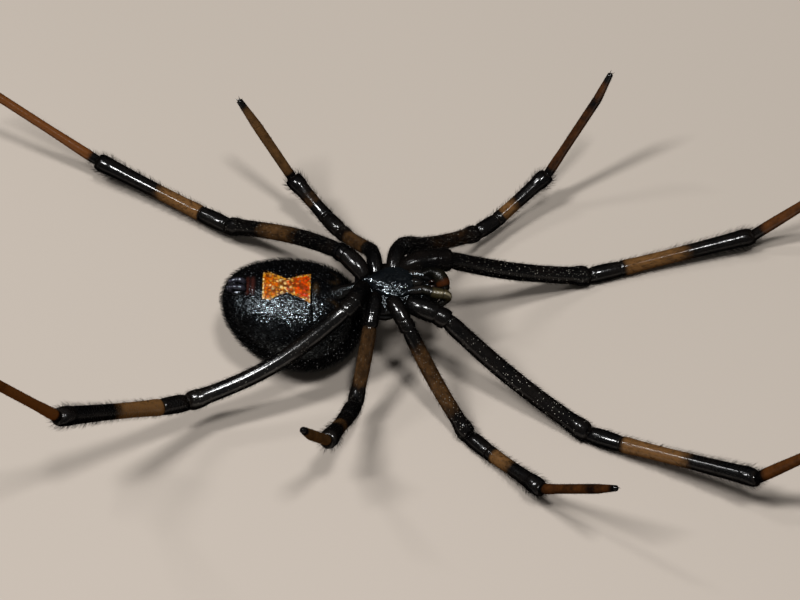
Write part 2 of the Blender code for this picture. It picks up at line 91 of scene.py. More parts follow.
def abdomen_folds(x, y, up):
    """How far the skin stands in or out, in millimetres, where up is 1 at the belly and -1 at the back."""
    belly = step_up((up - 0.55) / 0.25)
    # The furrow, and in front of it the lip of the genital plate with a small slit.
    out = -0.07 * hump(x - FURROW_X - 0.03 * y * y, 0.06) * belly * step_up((1.75 - abs(y)) / 0.5)
    lip = hump(x - FURROW_X - 0.2, 0.13) * hump(y, 0.3)
    out += (0.09 * lip - 0.05 * hump(x - FURROW_X - 0.1, 0.05) * hump(y, 0.14)) * belly
    # On each side the lung cover, three short creases beside the hourglass and three pits on the back.
    for way in (-1, 1):
        from_lung = lung_distance(x, way * y)
        lung = 0.035 * step_up((1.15 - from_lung) / 0.35) - 0.035 * hump(from_lung - 1.12, 0.1)
        out += lung * step_up((up - 0.35) / 0.2)
        for place, side in ((-0.55, 0.95), (-1.35, 0.85), (-2.1, 0.7)):
            out -= 0.025 * hump(x - place, 0.1) * hump(way * y - side - 0.3, 0.08) * belly
        for place, side in ((0.6, 0.55), (-0.7, 0.7), (-1.8, 0.6)):
            dimple = hump(x - place, 0.14) * hump(way * y - side, 0.12)
            out -= 0.035 * dimple * step_up(-up / 0.3)
    # The fold in front of the spinnerets, and a faint unevenness all over.
    out -= 0.03 * hump(x - REAR_FOLD_X, 0.05) * belly * step_up((0.75 - abs(y)) / 0.2)
    waves = np.sin(9.0 * x + 2.0 * y) * np.sin(7.0 * y - 3.0 * x + 1.0) + 0.6 * np.sin(4.1 * x - 5.0 * y)
    return out + 0.006 * waves


def grid(rings, box=(0.0, 0.0, 1.0, 1.0), marks=None):
    """A closed skin through rings of as many points each, with its patch of the map and its pigments."""
    rings = np.asarray(rings, float)
    middles = rings.mean(axis=1)
    steps = np.linalg.norm(np.diff(middles, axis=0), axis=1)
    along = np.concatenate([[0.0], np.cumsum(steps)])
    along = box[0] + (box[2] - box[0]) * along / along[-1]
    around = box[1] + (box[3] - box[1]) * np.arange(rings.shape[1] + 1) / rings.shape[1]
    return {"rings": rings, "along": along, "around": around, "marks": marks or {}}


def skin_piece(name, grids, finish, nodes):
    """One mesh of these skins, each closed by a fan at both ends, that stands for the nodes."""
    points = []
    quads = []
    tips = []
    quad_map = []
    tip_map = []
    marks = {key: [] for key in grids[0]["marks"]}
    first = 0
    for skin in grids:
        rings = skin["rings"]
        rows, columns = rings.shape[:2]
        points += [rings.reshape(-1, 3), rings[:1].mean(axis=1), rings[-1:].mean(axis=1)]
        i, j = np.meshgrid(np.arange(rows - 1), np.arange(columns), indexing="ij")
        i = i.ravel()
        j = j.ravel()
        k = (j + 1) % columns
        here = np.stack([i * columns + j, i * columns + k, (i + 1) * columns + k, (i + 1) * columns + j], 1)
        u = skin["along"]
        v = skin["around"]
        map_here = np.stack([[u[i], v[j]], [u[i], v[j + 1]], [u[i + 1], v[j + 1]], [u[i + 1], v[j]]])
        j = np.arange(columns)
        k = (j + 1) % columns
        last = (rows - 1) * columns
        start = np.stack([k, j, np.full(columns, rows * columns)], 1)
        end = np.stack([last + j, last + k, np.full(columns, rows * columns + 1)], 1)
        flip = volume_sign(rings)
        quads.append(first + here[:, ::flip])
        quad_map.append(map_here.transpose(2, 0, 1)[:, ::flip])
        for fan, at, order in ((start, u[0], (1, 0)), (end, u[-1], (0, 1))):
            ends = np.stack([v[j + order[0]], v[j + order[1]], (v[j] + v[j + 1]) / 2], 1)
            fan_map = np.stack([np.full(ends.shape, at), ends], 2)
            tips.append(first + fan[:, ::flip])
            tip_map.append(fan_map[:, ::flip])
        for key in marks:
            value = np.asarray(skin["marks"][key], float)
            if value.ndim == 1:
                value = np.repeat(value[:, None], columns, axis=1)
            marks[key] += [value.ravel(), value[:1].mean(axis=1), value[-1:].mean(axis=1)]
        first += rows * columns + 2
    maps = [np.concatenate(quad_map).reshape(-1, 2), np.concatenate(tip_map).reshape(-1, 2)]
    values = {key: np.concatenate(parts) for key, parts in marks.items()}
    faces = [np.concatenate(quads), np.concatenate(tips)]
    return finished(name, np.concatenate(points), faces, np.concatenate(maps), values, finish, nodes)


def volume_sign(rings):
    """1 if the rings' faces already look outwards, or -1 if they have to be turned round."""
    low = rings[:-1]
    high = rings[1:]
    across = np.roll(low, -1, axis=1) - low
    normal = np.cross(across, high - low)
    out = low - rings[:-1].mean(axis=1, keepdims=True)
    return 1 if (normal * out).sum() > 0 else -1


def finished(name, points, faces, corners, values, finish, nodes):
    """The piece as an object in the row frame, riding on the body."""
    mesh = bpy.data.meshes.new(name)
    loops = np.concatenate([part.ravel() for part in faces])
    counts = np.concatenate([np.full(len(part), part.shape[1]) for part in faces])
    mesh.vertices.add(len(points))
    mesh.vertices.foreach_set("co", (points * MM).ravel())
    mesh.loops.add(len(loops))
    mesh.polygons.add(len(counts))
    mesh.polygons.foreach_set("loop_start", np.concatenate([[0], np.cumsum(counts)[:-1]]))
    mesh.polygons.foreach_set("vertices", loops)
    mesh.update(calc_edges=True)
    mesh.validate()
    mesh.shade_smooth()
    mesh.uv_layers.new(name="OFBake").uv.foreach_set("vector", corners.ravel())
    for key, value in values.items():
        mesh.attributes.new(key, "FLOAT", "POINT").data.foreach_set("value", value)
    piece = bpy.data.objects.new(name, mesh)
    bpy.context.scene.collection.objects.link(piece)
    mesh.materials.append(finish)
    if nodes:
        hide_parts(*nodes)
    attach(piece, "root")
    return piece


def shader_group(name, inputs, outputs):
    """An empty node group with numbers as inputs, and outputs that are numbers or a Colour."""
    group = bpy.data.node_groups.new(name, "ShaderNodeTree")
    for label, value in inputs.items():
        made = group.interface.new_socket(label, in_out="INPUT", socket_type="NodeSocketFloat")
        made.default_value = value
    for label in outputs:
        kind = "NodeSocketColor" if label == "Colour" else "NodeSocketFloat"
        group.interface.new_socket(label, in_out="OUTPUT", socket_type=kind)
    return group, group.nodes.new("NodeGroupInput"), group.nodes.new("NodeGroupOutput")


def feed(tree, socket, value):
    """Set the socket to a number or a colour, or link it to another node's output."""
    if isinstance(value, tuple):
        socket.default_value = (*value, 1.0)
    elif isinstance(value, (int, float)):
        socket.default_value = value
    else:
        tree.links.new(value, socket)


def feed_all(tree, node, **values):
    """Feed the node's inputs by their names, with _ for a space."""
    for label, value in values.items():
        feed(tree, node.inputs[label.replace("_", " ")], value)


def math_node(tree, operation, *values):
    """The outcome of a Math node on numbers or on other nodes' outputs."""
    node = tree.nodes.new("ShaderNodeMath")
    node.operation = operation
    for socket, value in zip(node.inputs, values):
        feed(tree, socket, value)
    return node.outputs[0]


def times(tree, first, second):
    """The product of two numbers or outputs."""
    return math_node(tree, "MULTIPLY", first, second)


def scaled(tree, value, factor, offset):
    """The value times the factor, plus the offset."""
    return math_node(tree, "MULTIPLY_ADD", value, factor, offset)


def ramp(tree, value, low, high):
    """0 below low, 1 above high, smooth between. Low may be above high."""
    node = tree.nodes.new("ShaderNodeMapRange")
    node.interpolation_type = "SMOOTHSTEP"
    rising = 1.0 if low < high else 0.0
    feed_all(tree, node, Value=value, From_Min=min(low, high), From_Max=max(low, high))
    feed_all(tree, node, To_Min=1.0 - rising, To_Max=rising)
    return node.outputs["Result"]


def mix_colours(tree, part, under, over):
    """The colour over in that part and the colour under in the rest."""
    node = tree.nodes.new("ShaderNodeMix")
    node.data_type = "RGBA"
    for socket, value in ((node.inputs[0], part), (node.inputs[6], under), (node.inputs[7], over)):
        feed(tree, socket, value)
    return node.outputs[2]


def place_in_piece(tree):
    """Where a place is in its piece, in metres."""
    return tree.nodes.new("ShaderNodeTexCoord").outputs["Object"]


def noise(tree, scale, detail=2.0, rough=0.5):
    """Soft random clouds, with scale clouds to the metre."""
    node = tree.nodes.new("ShaderNodeTexNoise")
    feed_all(tree, node, Vector=place_in_piece(tree), Scale=scale, Detail=detail, Roughness=rough)
    return node.outputs["Fac"]


def cell_net(tree, scale):
    """A net of small cells: how far a place is from its cell's middle, and three random numbers per cell."""
    node = tree.nodes.new("ShaderNodeTexVoronoi")
    feed_all(tree, node, Vector=place_in_piece(tree), Scale=scale)
    picks = tree.nodes.new("ShaderNodeSeparateColor")
    tree.links.new(node.outputs["Color"], picks.inputs[0])
    return node.outputs["Distance"], picks.outputs


def skin_mark(tree, name):
    """How strong a pigment or a sheen is, as stored at the skin's own points."""
    node = tree.nodes.new("ShaderNodeAttribute")
    node.attribute_name = name
    return node.outputs["Fac"]


# Fine relief of spider cuticle: a net of tiny cells, and a mask of scattered bristle-socket specks that the
# materials paint pale as glints.
cuticle_grain, given, result = shader_group(
    "cuticle_grain",
    {
        "Cells": 14000.0,
        "Cell Depth": 0.6,
        "Wrinkle Depth": 0.4,
        "Least Roughness": 0.08,
        "Uneven": 0.1,
        "Sockets": 8000.0,
    },
    ("Height", "Roughness", "Tone", "Socket"),
)
from_middle, picks = cell_net(cuticle_grain, given.outputs["Cells"])
fine = noise(cuticle_grain, 26000.0, 3.0, 0.6)
slow = noise(cuticle_grain, 900.0, 3.0, 0.55)
dome = math_node(cuticle_grain, "POWER", from_middle, 2.0)
cell_part = times(cuticle_grain, dome, given.outputs["Cell Depth"])
fine_part = times(cuticle_grain, fine, given.outputs["Wrinkle Depth"])
uneven = math_node(cuticle_grain, "POWER", picks[0], 2.0)
rough = scaled(cuticle_grain, slow, 0.08, given.outputs["Least Roughness"])
from_socket, picks = cell_net(cuticle_grain, given.outputs["Sockets"])
glinting_ones = ramp(cuticle_grain, picks[0], 0.35, 0.85)
feed_all(
    cuticle_grain,
    result,
    Height=math_node(cuticle_grain, "ADD", cell_part, fine_part),
    Roughness=scaled(cuticle_grain, uneven, given.outputs["Uneven"], rough),
    Tone=ramp(cuticle_grain, slow, 0.35, 0.7),
    Socket=times(cuticle_grain, ramp(cuticle_grain, from_socket, 0.24, 0.14), glinting_ones),
)


# Where the hourglass lies on the belly, and its colour. Each lobe widens from the waist by a power
# of the way to its end, and the rear lobe has its full width already before its end.
MARK_FRONT_X = FURROW_X - 0.08
MARK_LENGTH = 2.24
MARK_SIDE = 0.05
FRONT_HALF = 0.83
WAIST_HALF = 0.4
REAR_HALF = 0.76
REAR_FASTER = 0.6
LOBE_POWER = 1.2
hourglass, given, result = shader_group(
    "hourglass",
    {"Front Half Width": FRONT_HALF, "Waist Half Width": WAIST_HALF, "Rear Half Width": REAR_HALF},
    ("Mask", "Colour", "Stain"),
)
place = hourglass.nodes.new("ShaderNodeVectorMath")
place.operation = "SCALE"
hourglass.links.new(place_in_piece(hourglass), place.inputs[0])
place.inputs["Scale"].default_value = 1.0 / MM
axes = hourglass.nodes.new("ShaderNodeSeparateXYZ")
hourglass.links.new(place.outputs["Vector"], axes.inputs[0])
ragged = scaled(hourglass, noise(hourglass, 7500.0, 3.0, 0.7), 0.3, -0.15)
forward = scaled(hourglass, ragged, 0.25, axes.outputs["X"])
back = math_node(hourglass, "SUBTRACT", MARK_FRONT_X, forward)
at = scaled(hourglass, back, 2.0 / MARK_LENGTH, -1.0)
from_waist = math_node(hourglass, "ABSOLUTE", at)
to_rear = ramp(hourglass, at, -0.01, 0.01)
reach = scaled(hourglass, to_rear, REAR_FASTER, 1.0)
flare = math_node(hourglass, "MINIMUM", times(hourglass, from_waist, reach), 1.0)
flare = math_node(hourglass, "POWER", flare, LOBE_POWER)
lobe = hourglass.nodes.new("ShaderNodeMix")
hourglass.links.new(to_rear, lobe.inputs[0])
hourglass.links.new(given.outputs["Front Half Width"], lobe.inputs[2])
hourglass.links.new(given.outputs["Rear Half Width"], lobe.inputs[3])
spread = math_node(hourglass, "SUBTRACT", lobe.outputs[0], given.outputs["Waist Half Width"])
half = scaled(hourglass, spread, flare, given.outputs["Waist Half Width"])
aside = math_node(hourglass, "ABSOLUTE", math_node(hourglass, "SUBTRACT", axes.outputs["Y"], MARK_SIDE))
inside = math_node(hourglass, "ADD", math_node(hourglass, "SUBTRACT", half, aside), ragged)
ends = times(hourglass, math_node(hourglass, "SUBTRACT", 1.0, from_waist), MARK_LENGTH / 2)
belly_side = ramp(hourglass, axes.outputs["Z"], 3.0, 3.3)
mask = times(hourglass, ramp(hourglass, inside, -0.02, 0.03), ramp(hourglass, ends, -0.01, 0.03))

# The mark's pigment is red with gold at its edge and waist, in cells that differ from each other.
from_middle, picks = cell_net(hourglass, 8000.0)
near_edge = math_node(hourglass, "MINIMUM", inside, times(hourglass, ends, 1.3))
edge = ramp(hourglass, near_edge, 0.2, 0.03)
waist = math_node(hourglass, "ABSOLUTE", math_node(hourglass, "SUBTRACT", at, 0.12))
waist = ramp(hourglass, waist, 0.62, 0.25)
gold = scaled(hourglass, waist, 0.42, scaled(hourglass, picks[0], 0.8, -0.35))
gold = scaled(hourglass, edge, 0.7, gold)
gold = scaled(hourglass, to_rear, 0.12, gold)
cloud = ramp(hourglass, noise(hourglass, 3600.0, 2.0, 0.6), 0.4, 0.62)
brown = times(hourglass, ramp(hourglass, picks[1], 0.5, 0.75), waist)
pale = times(hourglass, ramp(hourglass, picks[2], 0.66, 0.8), ramp(hourglass, gold, 0.3, 0.6))
seam = ramp(hourglass, from_middle, 0.4, 0.75)
dull = math_node(hourglass, "POWER", picks[1], 2.0)
colour = mix_colours(hourglass, to_rear, (0.58, 0.028, 0.0), (0.42, 0.075, 0.0))
for part, strength, pigment in (
    (cloud, 0.5, (0.5, 0.1, 0.0)),
    (ramp(hourglass, gold, 0.25, 0.65), 1.0, (0.48, 0.21, 0.015)),
    (brown, 0.85, (0.07, 0.03, 0.008)),
    (pale, 0.8, (0.7, 0.55, 0.24)),
    (seam, 0.7, (0.09, 0.02, 0.003)),
    (dull, 0.95, (0.1, 0.02, 0.002)),
):
    colour = mix_colours(hourglass, times(hourglass, part, strength), colour, pigment)

# Dark red stripes cross the middle of the belly in front of the spinnerets.
stripe = math_node(hourglass, "SINE", times(hourglass, forward, 26.0))
stain = times(hourglass, ramp(hourglass, forward, -3.0, -2.85), ramp(hourglass, forward, -2.42, -2.52))
stain = times(hourglass, stain, ramp(hourglass, aside, 0.62, 0.3))
stain = times(hourglass, stain, scaled(hourglass, stripe, 0.35, 0.65))
feed_all(
    hourglass,
    result,
    Mask=times(hourglass, mask, belly_side),
    Colour=colour,
    Stain=times(hourglass, stain, belly_side),
)


def add_group(tree, group, **values):
    """The node group in this material, with its own values."""
    node = tree.nodes.new("ShaderNodeGroup")
    node.node_tree = group
    feed_all(tree, node, **values)
    return node


def new_finish(name, rough=None, coat=0.0, coat_rough=0.05, specular=0.3):
    """A material with one Principled shader, and its tree and shader."""
    made = bpy.data.materials.new(name)
    made.use_nodes = True
    tree = made.node_tree
    shader = tree.nodes["Principled BSDF"]
    feed_all(tree, shader, Coat_Weight=coat, Coat_Roughness=coat_rough, Specular_IOR_Level=specular)
    if rough is not None:
        feed_all(tree, shader, Roughness=rough)
    return made, tree, shader


def add_gloss(tree, shader, gloss):
    """Gloss that fades where the skin is seen at a low angle, through the fine hair that stands on it."""
    weight = tree.nodes.new("ShaderNodeLayerWeight")
    weight.inputs["Blend"].default_value = 0.5
    gloss = times(tree, ramp(tree, weight.outputs["Facing"], 0.38, 0.14), gloss)
    feed_all(tree, shader, Specular_IOR_Level=gloss)
    return gloss


def cell_glint(tree, cells):
    """How much more or less than its neighbours each cell of the cuticle shines."""
    _, picks = cell_net(tree, cells)
    return scaled(tree, math_node(tree, "POWER", picks[1], 3.0), 3.0, 0.25)


def add_relief(tree, shader, height, distance):
    """Bump of this height in metres on the shader."""
    bump = tree.nodes.new("ShaderNodeBump")
    feed_all(tree, bump, Distance=distance, Height=height)
    feed_all(tree, shader, Normal=bump.outputs["Normal"])


abdomen_finish, tree, shader = new_finish("abdomen_cuticle")
gloss = add_gloss(tree, shader, 0.6)
grain = add_group(
    tree,
    cuticle_grain,
    Cells=12000.0,
    Cell_Depth=1.0,
    Wrinkle_Depth=0.1,
    Least_Roughness=0.03,
    Uneven=0.15,
    Sockets=7500.0,
)
mark = add_group(tree, hourglass)
axes = tree.nodes.new("ShaderNodeSeparateXYZ")
tree.links.new(place_in_piece(tree), axes.inputs[0])
not_front = ramp(tree, axes.outputs["X"], 2.0 * MM, 1.2 * MM)
sparkle = times(tree, not_front, ramp(tree, axes.outputs["Z"], 1.6 * MM, 2.4 * MM))
even = 0.4
glint = scaled(tree, math_node(tree, "SUBTRACT", cell_glint(tree, 12000.0), even), sparkle, even)
gloss = times(tree, gloss, times(tree, skin_mark(tree, "shine"), glint))
colour = mix_colours(tree, grain.outputs["Tone"], (0.001, 0.001, 0.0013), (0.0022, 0.002, 0.002))
colour = mix_colours(tree, skin_mark(tree, "fold"), colour, (0.035, 0.02, 0.008))
colour = mix_colours(tree, mark.outputs["Stain"], colour, (0.03, 0.008, 0.006))
# Painted glints: pale blue-white bristle-socket specks in the base colour, more of them towards the lower
# sides.
low = scaled(tree, ramp(tree, axes.outputs["Z"], 3.6 * MM, 2.2 * MM), 0.9, 0.1)
colour = mix_colours(tree, times(tree, grain.outputs["Socket"], low), colour, (0.8, 0.85, 0.9))
colour = mix_colours(tree, mark.outputs["Mask"], colour, mark.outputs["Colour"])
rough = scaled(tree, mark.outputs["Mask"], 0.22, grain.outputs["Roughness"])
feed_all(tree, shader, Base_Color=colour, Roughness=rough)
feed_all(tree, shader, Specular_IOR_Level=gloss, Specular_Tint=(0.78, 0.92, 1.0))
add_relief(tree, shader, grain.outputs["Height"], 0.000017)

stations = ABDOMEN_X + ABDOMEN_HALF_LENGTH * np.cos(np.pi * np.arange(1, 150) / 150)
for place, width in ((FURROW_X, 0.3), (REAR_FOLD_X, 0.12), (LUNG_X, 0.6)):
    stations = np.concatenate([stations, place + np.linspace(-width, width, 17)])
stations = np.unique(np.round(np.sort(stations), 3))
turns = 2 * np.pi * np.arange(ABDOMEN_SIDES) / ABDOMEN_SIDES
x = np.repeat(stations[:, None], ABDOMEN_SIDES, axis=1)
centre, belly, back, half = abdomen_section(x)
up = np.repeat(np.sin(turns)[None, :], len(stations), axis=0)
side = np.repeat(np.cos(turns)[None, :], len(stations), axis=0)
tall = np.where(up > 0, belly, back)
out = 1.0 + (abdomen_folds(x, half * side, up) - 0.09 * step_up((up + 1.0) / 0.3)) / np.maximum(tall, 0.3)
abdomen_rings = np.stack([x, half * side * out, centre + tall * up * out], 2)
abdomen_rings[:, :, 2] = np.maximum(abdomen_rings[:, :, 2], 0.0)
lung_edge = np.zeros_like(x)
for way in (-1, 1):
    at_edge = hump(lung_distance(x, way * half * side) - 1.0, 0.16)
    lung_edge += at_edge * step_up((up - 0.35) / 0.2) * step_up((x - 0.7) / 0.5)
lip = hump(x - FURROW_X - 0.17, 0.12) * hump(half * side, 0.26) * step_up(up / 0.5)
at = (MARK_FRONT_X - x) * 2 / MARK_LENGTH - 1.0
lobe = np.where(at > 0, REAR_HALF, FRONT_HALF) - WAIST_HALF
reach = np.where(at > 0, 1.0 + REAR_FASTER, 1.0)
mark_half = WAIST_HALF + lobe * np.minimum(1.0, abs(at) * reach) ** LOBE_POWER
marked = step_up((mark_half - abs(half * side - MARK_SIDE)) / 0.06 + 0.5)
marked = marked * step_up((1.0 - abs(at)) / 0.1) * step_up(up / 0.3)
shine = (1.0 - 0.75 * marked) * (0.2 + 0.8 * step_up((x + 2.8) / 0.7))
abdomen_marks = {"fold": np.clip(0.5 * lung_edge + 0.9 * lip, 0.0, 1.0), "shine": shine}
abdomen_grid = grid(abdomen_rings, marks=abdomen_marks)
skin_piece("abdomen_skin", [abdomen_grid], abdomen_finish, ["abdomen", "hourglass"])


# Spinnerets
# Three pairs of short, jointed silk tubes on a low collar at the rear of the belly. The front pair
# lies along the body, the others stand up, and a small blunt knob is behind them. They are black
# cuticle, tinted grey-blue towards the tips as painted sheen.
def smooth_path(stations, per):
    """A rounded line of points and radii through (x, y, z, radius) stations, with per steps between two."""
    stations = np.asarray(stations, float)
    ends = np.concatenate([[2 * stations[0] - stations[1]], stations, [2 * stations[-1] - stations[-2]]])
    found = []
    for a, b, c, d in zip(ends, ends[1:], ends[2:], ends[3:]):
        squared = 2 * a - 5 * b + 4 * c - d
        cubed = 3 * b - a - 3 * c + d
        for t in np.arange(per) / per:
            found.append(0.5 * (2 * b + (c - a) * t + squared * t**2 + cubed * t**3))
    return np.array([*found, stations[-1]])


def tube_rings(path, sides, flat=1.0):
    """Round rings along a line of points and radii, with a rounded tip."""
    rings = []
    across = None
    for i, station in enumerate(path):
        along = path[min(i + 1, len(path) - 1)][:3] - path[max(i - 1, 0)][:3]
        along /= np.linalg.norm(along)
        if across is None:
            across = np.cross(along, (0.0, 0.0, 1.0))
            if np.linalg.norm(across) < 0.1:
                across = np.cross(along, (0.0, 1.0, 0.0))
        across = across - along * across.dot(along)
        across /= np.linalg.norm(across)
        other = np.cross(along, across)
        turn = 2 * np.pi * np.arange(sides)[:, None] / sides
        rings.append(station[:3] + (across * np.cos(turn) + other * np.sin(turn) * flat) * station[3])
    end = path[-1][:3]
    for grow, push in ((0.86, 0.4), (0.6, 0.72), (0.25, 0.92)):
        rings.append(end + along * path[-1][3] * push + (rings[len(path) - 1] - end) * grow)
    return np.array(rings)


spinneret_finish, tree, shader = new_finish("spinneret_cuticle")
add_gloss(tree, shader, 0.6)
grain = add_group(tree, cuticle_grain, Cells=18000.0, Least_Roughness=0.04)
colour = mix_colours(tree, grain.outputs["Tone"], (0.002, 0.002, 0.0025), (0.005, 0.005, 0.005))
# Painted sheen: a grey-blue tint on the tubes, strongest at their tips.
colour = mix_colours(tree, skin_mark(tree, "tip"), colour, (0.035, 0.033, 0.048))
feed_all(tree, shader, Base_Color=colour, Roughness=grain.outputs["Roughness"])
feed_all(tree, shader, Specular_Tint=(0.8, 0.88, 1.0))
add_relief(tree, shader, grain.outputs["Height"], 0.000012)


def standing_tube(forward, side, high, thick):
    """Stations of a tube of two segments that stands on the collar and leans in a little at its tip."""
    joint = high * 0.55
    return [
        (forward, side, 0.0, thick),
        (forward, side, joint * 0.6, thick * 1.03),
        (forward * 0.97, side * 1.02, joint, thick * 0.9),
        (forward * 0.96, side * 1.02, joint + 0.03, thick * 0.72),
        (forward * 0.94, side, joint + 0.06, thick * 0.76),
        (forward * 0.86, side * 0.95, high * 0.92, thick * 0.6),
        (forward * 0.82, side * 0.92, high, thick * 0.42),
    ]


# The tubes are placed in a frame that lies on the skin, with its axes forward, sideways and out.
field_x = ABDOMEN_X - 0.785 * ABDOMEN_HALF_LENGTH
here = Vector((field_x, 0.0, float(belly_height(np.float64(field_x), 0.0))))
ahead = Vector((field_x + 0.1, 0.0, float(belly_height(np.float64(field_x + 0.1), 0.0))))
forward = (ahead - here).normalized()
outward = forward.cross(Vector((0, 1, 0))).normalized()
field = np.array(Matrix((forward, outward.cross(forward), outward)).transposed())
collar = [(-0.3, 0.48), (-0.12, 0.44), (-0.05, 0.42), (0.0, 0.38), (0.03, 0.3), (0.045, 0.16), (0.05, 0.03)]
lying = [(0.36, 0.19, -0.06, 0.13), (0.33, 0.2, 0.1, 0.14), (0.2, 0.21, 0.2, 0.13), (0.16, 0.21, 0.22, 0.11)]
lying += [(0.11, 0.21, 0.24, 0.115), (-0.06, 0.19, 0.28, 0.095), (-0.14, 0.17, 0.28, 0.06)]
knob = [(-0.4, 0, -0.2, 0.15), (-0.4, 0, 0.02, 0.13), (-0.41, 0, 0.08, 0.09), (-0.41, 0, 0.1, 0.04)]
parts = [([(0.03, 0, high, wide) for high, wide in collar], 0.0, 36)]
for way in (-1, 1):
    parts.append(([(a, b * way, c, thick) for a, b, c, thick in lying], 1.0, 24))
    parts.append((standing_tube(-0.04, 0.08 * way, 0.22, 0.07), 1.0, 20))
    parts.append((standing_tube(-0.24, 0.18 * way, 0.34, 0.11), 1.0, 20))
parts.append((knob, 0.6, 20))
spinneret_grids = []
for i, (path, tipped, sides) in enumerate(parts):
    rings = tube_rings(smooth_path(path, 4), sides) @ field.T + np.array(here)
    high = np.linspace(0.0, 1.0, len(rings))
    # How far the painted grey-blue sheen covers each tube, strongest at the tip.
    marks = {"tip": tipped * (0.4 + 0.6 * step_up((high - 0.72) / 0.2))}
    spinneret_grids.append(grid(rings, (0.12 * i, 0.0, 0.12 * i + 0.1, 1.0), marks))
skin_piece("spinneret_skin", spinneret_grids, spinneret_finish, ["spinnerets"])


# Head and thorax
# One hard, pear-shaped black shield covers the back, with a pit and shallow furrows that spread
# from it. Soft dark skin joins its rim to the breastplate and the narrow waist.
STERNUM_AT = np.array([3.7, 0.0, 5.4])
BODY = np.array(Matrix.Rotation(math.radians(3.0), 3, "Y"))
CARAPACE_REAR = -1.5
CARAPACE_FRONT = 2.4
CARAPACE_EDGE = -0.98
WIDEST_X = -0.1
THORAX_HALF_WIDTH = 1.52
HEAD_HALF_WIDTH = 0.8
PIT_X = -0.3
STERNUM_LENGTH = 2.35


def in_body(points):
    """Points given as forward, sideways and up from the breastplate's middle, in the row frame."""
    return STERNUM_AT + np.asarray(points, float) @ BODY.T


def carapace_half_width(x):
    """Half width of the shield, which is round at the rear and narrows towards the eyes."""
    ahead = x - WIDEST_X
    to_rear = np.minimum(ahead, 0.0) / (CARAPACE_REAR - WIDEST_X)
    thorax = THORAX_HALF_WIDTH * (0.42 + 0.58 * np.sqrt(np.maximum(0.0, 1.0 - to_rear**2)))
    return thorax + (HEAD_HALF_WIDTH - thorax) * step_up(ahead / 1.55)


def carapace_point(x, turn):
    """Place on the shield, with turn from 0 at the right edge to pi at the left edge."""
    x = np.asarray(x, float)
    high = 0.72 * (0.35 + 0.65 * step_up((x - CARAPACE_REAR) / 1.3)) + 0.1 * hump(x - 1.4, 0.7)
    nose = np.maximum(0.0, (x - 1.95) / (CARAPACE_FRONT - 1.95))
    round_off = np.sqrt(np.maximum(0.0, 1.0 - nose**2.2))
    half = carapace_half_width(x) * (0.3 + 0.7 * round_off)
    high = high * (0.32 + 0.68 * round_off)
    side = half * np.cos(turn)
    top = np.sin(turn) ** 0.8
    pit = 0.2 * hump(x - PIT_X, 0.22) * hump(side, 0.3)
    groove = 0.0
    for lean in (-1.25, -0.5, 0.25, 1.1):
        groove = groove + 0.05 * hump(x - PIT_X - lean * abs(side), 0.13) * step_up(abs(side) / 0.4)
    groove = groove * step_up((1.35 - abs(side)) / 0.4)
    neck = 0.045 * hump(x - 0.75 - 0.55 * abs(side), 0.09) * step_up(abs(side) / 0.3)
    return np.stack([x, side, CARAPACE_EDGE - high * top + (pit + groove + neck) * top], -1)


def cuticle(name, dark, light, cells=14000.0, depth=0.000003, wrinkle=0.4, sparkle=False):
    """Glossy shell that drifts between a dark and a light tone, and that may sparkle cell by cell."""
    made, tree, shader = new_finish(name)
    gloss = add_gloss(tree, shader, 0.45)
    grain = add_group(tree, cuticle_grain, Cells=cells, Cell_Depth=1.0, Wrinkle_Depth=wrinkle)
    feed_all(tree, grain, Least_Roughness=0.04)
    if sparkle:
        feed_all(tree, shader, Specular_IOR_Level=times(tree, gloss, cell_glint(tree, cells)))
    colour = mix_colours(tree, grain.outputs["Tone"], dark, light)
    feed_all(tree, shader, Base_Color=colour, Roughness=grain.outputs["Roughness"])
    feed_all(tree, shader, Specular_Tint=(0.82, 0.93, 1.0))
    add_relief(tree, shader, grain.outputs["Height"], depth)
    return made


shield_finish = cuticle("shield_cuticle", (0.002, 0.002, 0.0025), (0.006, 0.005, 0.0045))
middle = (CARAPACE_REAR + CARAPACE_FRONT) / 2
reach = (CARAPACE_FRONT - CARAPACE_REAR) / 2
rings = []
for place in middle - reach * np.cos(np.pi * np.arange(101) / 100):
    dome = carapace_point(np.full(65, place), np.pi * np.arange(65) / 64)
    dome[1:-1, 2] -= 0.02 * np.sin(np.pi * np.arange(1, 64) / 64) ** 0.3
    edge = dome[[-1, 0]].copy()
    edge[:, 1] *= 1.02
    edge[:, 2] += 0.035
    under = np.linspace(edge[0], edge[1], 12)
    under[1:-1, 2] += 0.08 * np.sin(np.pi * np.arange(1, 11) / 11)
    rings.append(np.concatenate([dome, under]))
carapace_grid = grid(in_body(rings))
skin_piece("carapace_skin", [carapace_grid], shield_finish, ["carapace"])


def sternum_half_width(x):
    """Half width of the breastplate, which is widest just ahead of its middle and tapers to the rear."""
    at = (x + STERNUM_LENGTH / 2) / STERNUM_LENGTH
    rear = step_up(at / 0.62) ** 0.75
    return 0.85 * (0.14 + 0.86 * rear) * (1.0 - 0.32 * step_up((at - 0.68) / 0.34))


sternum_finish = cuticle(
    "breastplate_cuticle",
    (0.0015, 0.002, 0.0026),
    (0.004, 0.005, 0.006),
    cells=10000.0,
    depth=0.00002,
    wrinkle=0.12,
    sparkle=True,
)
rings = []
for at in np.linspace(-1.0, 1.0, 72):
    x = STERNUM_LENGTH / 2 * at
    half = sternum_half_width(x)
    end = 1.0 - abs(at) ** 5
    across = np.cos(np.pi * np.arange(33) / 32)
    dome = 0.27 * (1.0 - abs(across) ** 2.2) * (0.45 + 0.55 * end) + 0.02 * hump(abs(across) - 0.93, 0.05)
    top = np.stack([np.full(33, x), half * across, -0.17 + dome], 1)
    wall = np.stack([np.full(9, x), half * np.linspace(-0.98, 0.98, 9), np.full(9, -0.6)], 1)
    rings.append(np.concatenate([top, wall]))
sternum_grid = grid(in_body(rings))
skin_piece("sternum_skin", [sternum_grid], sternum_finish, ["sternum"])

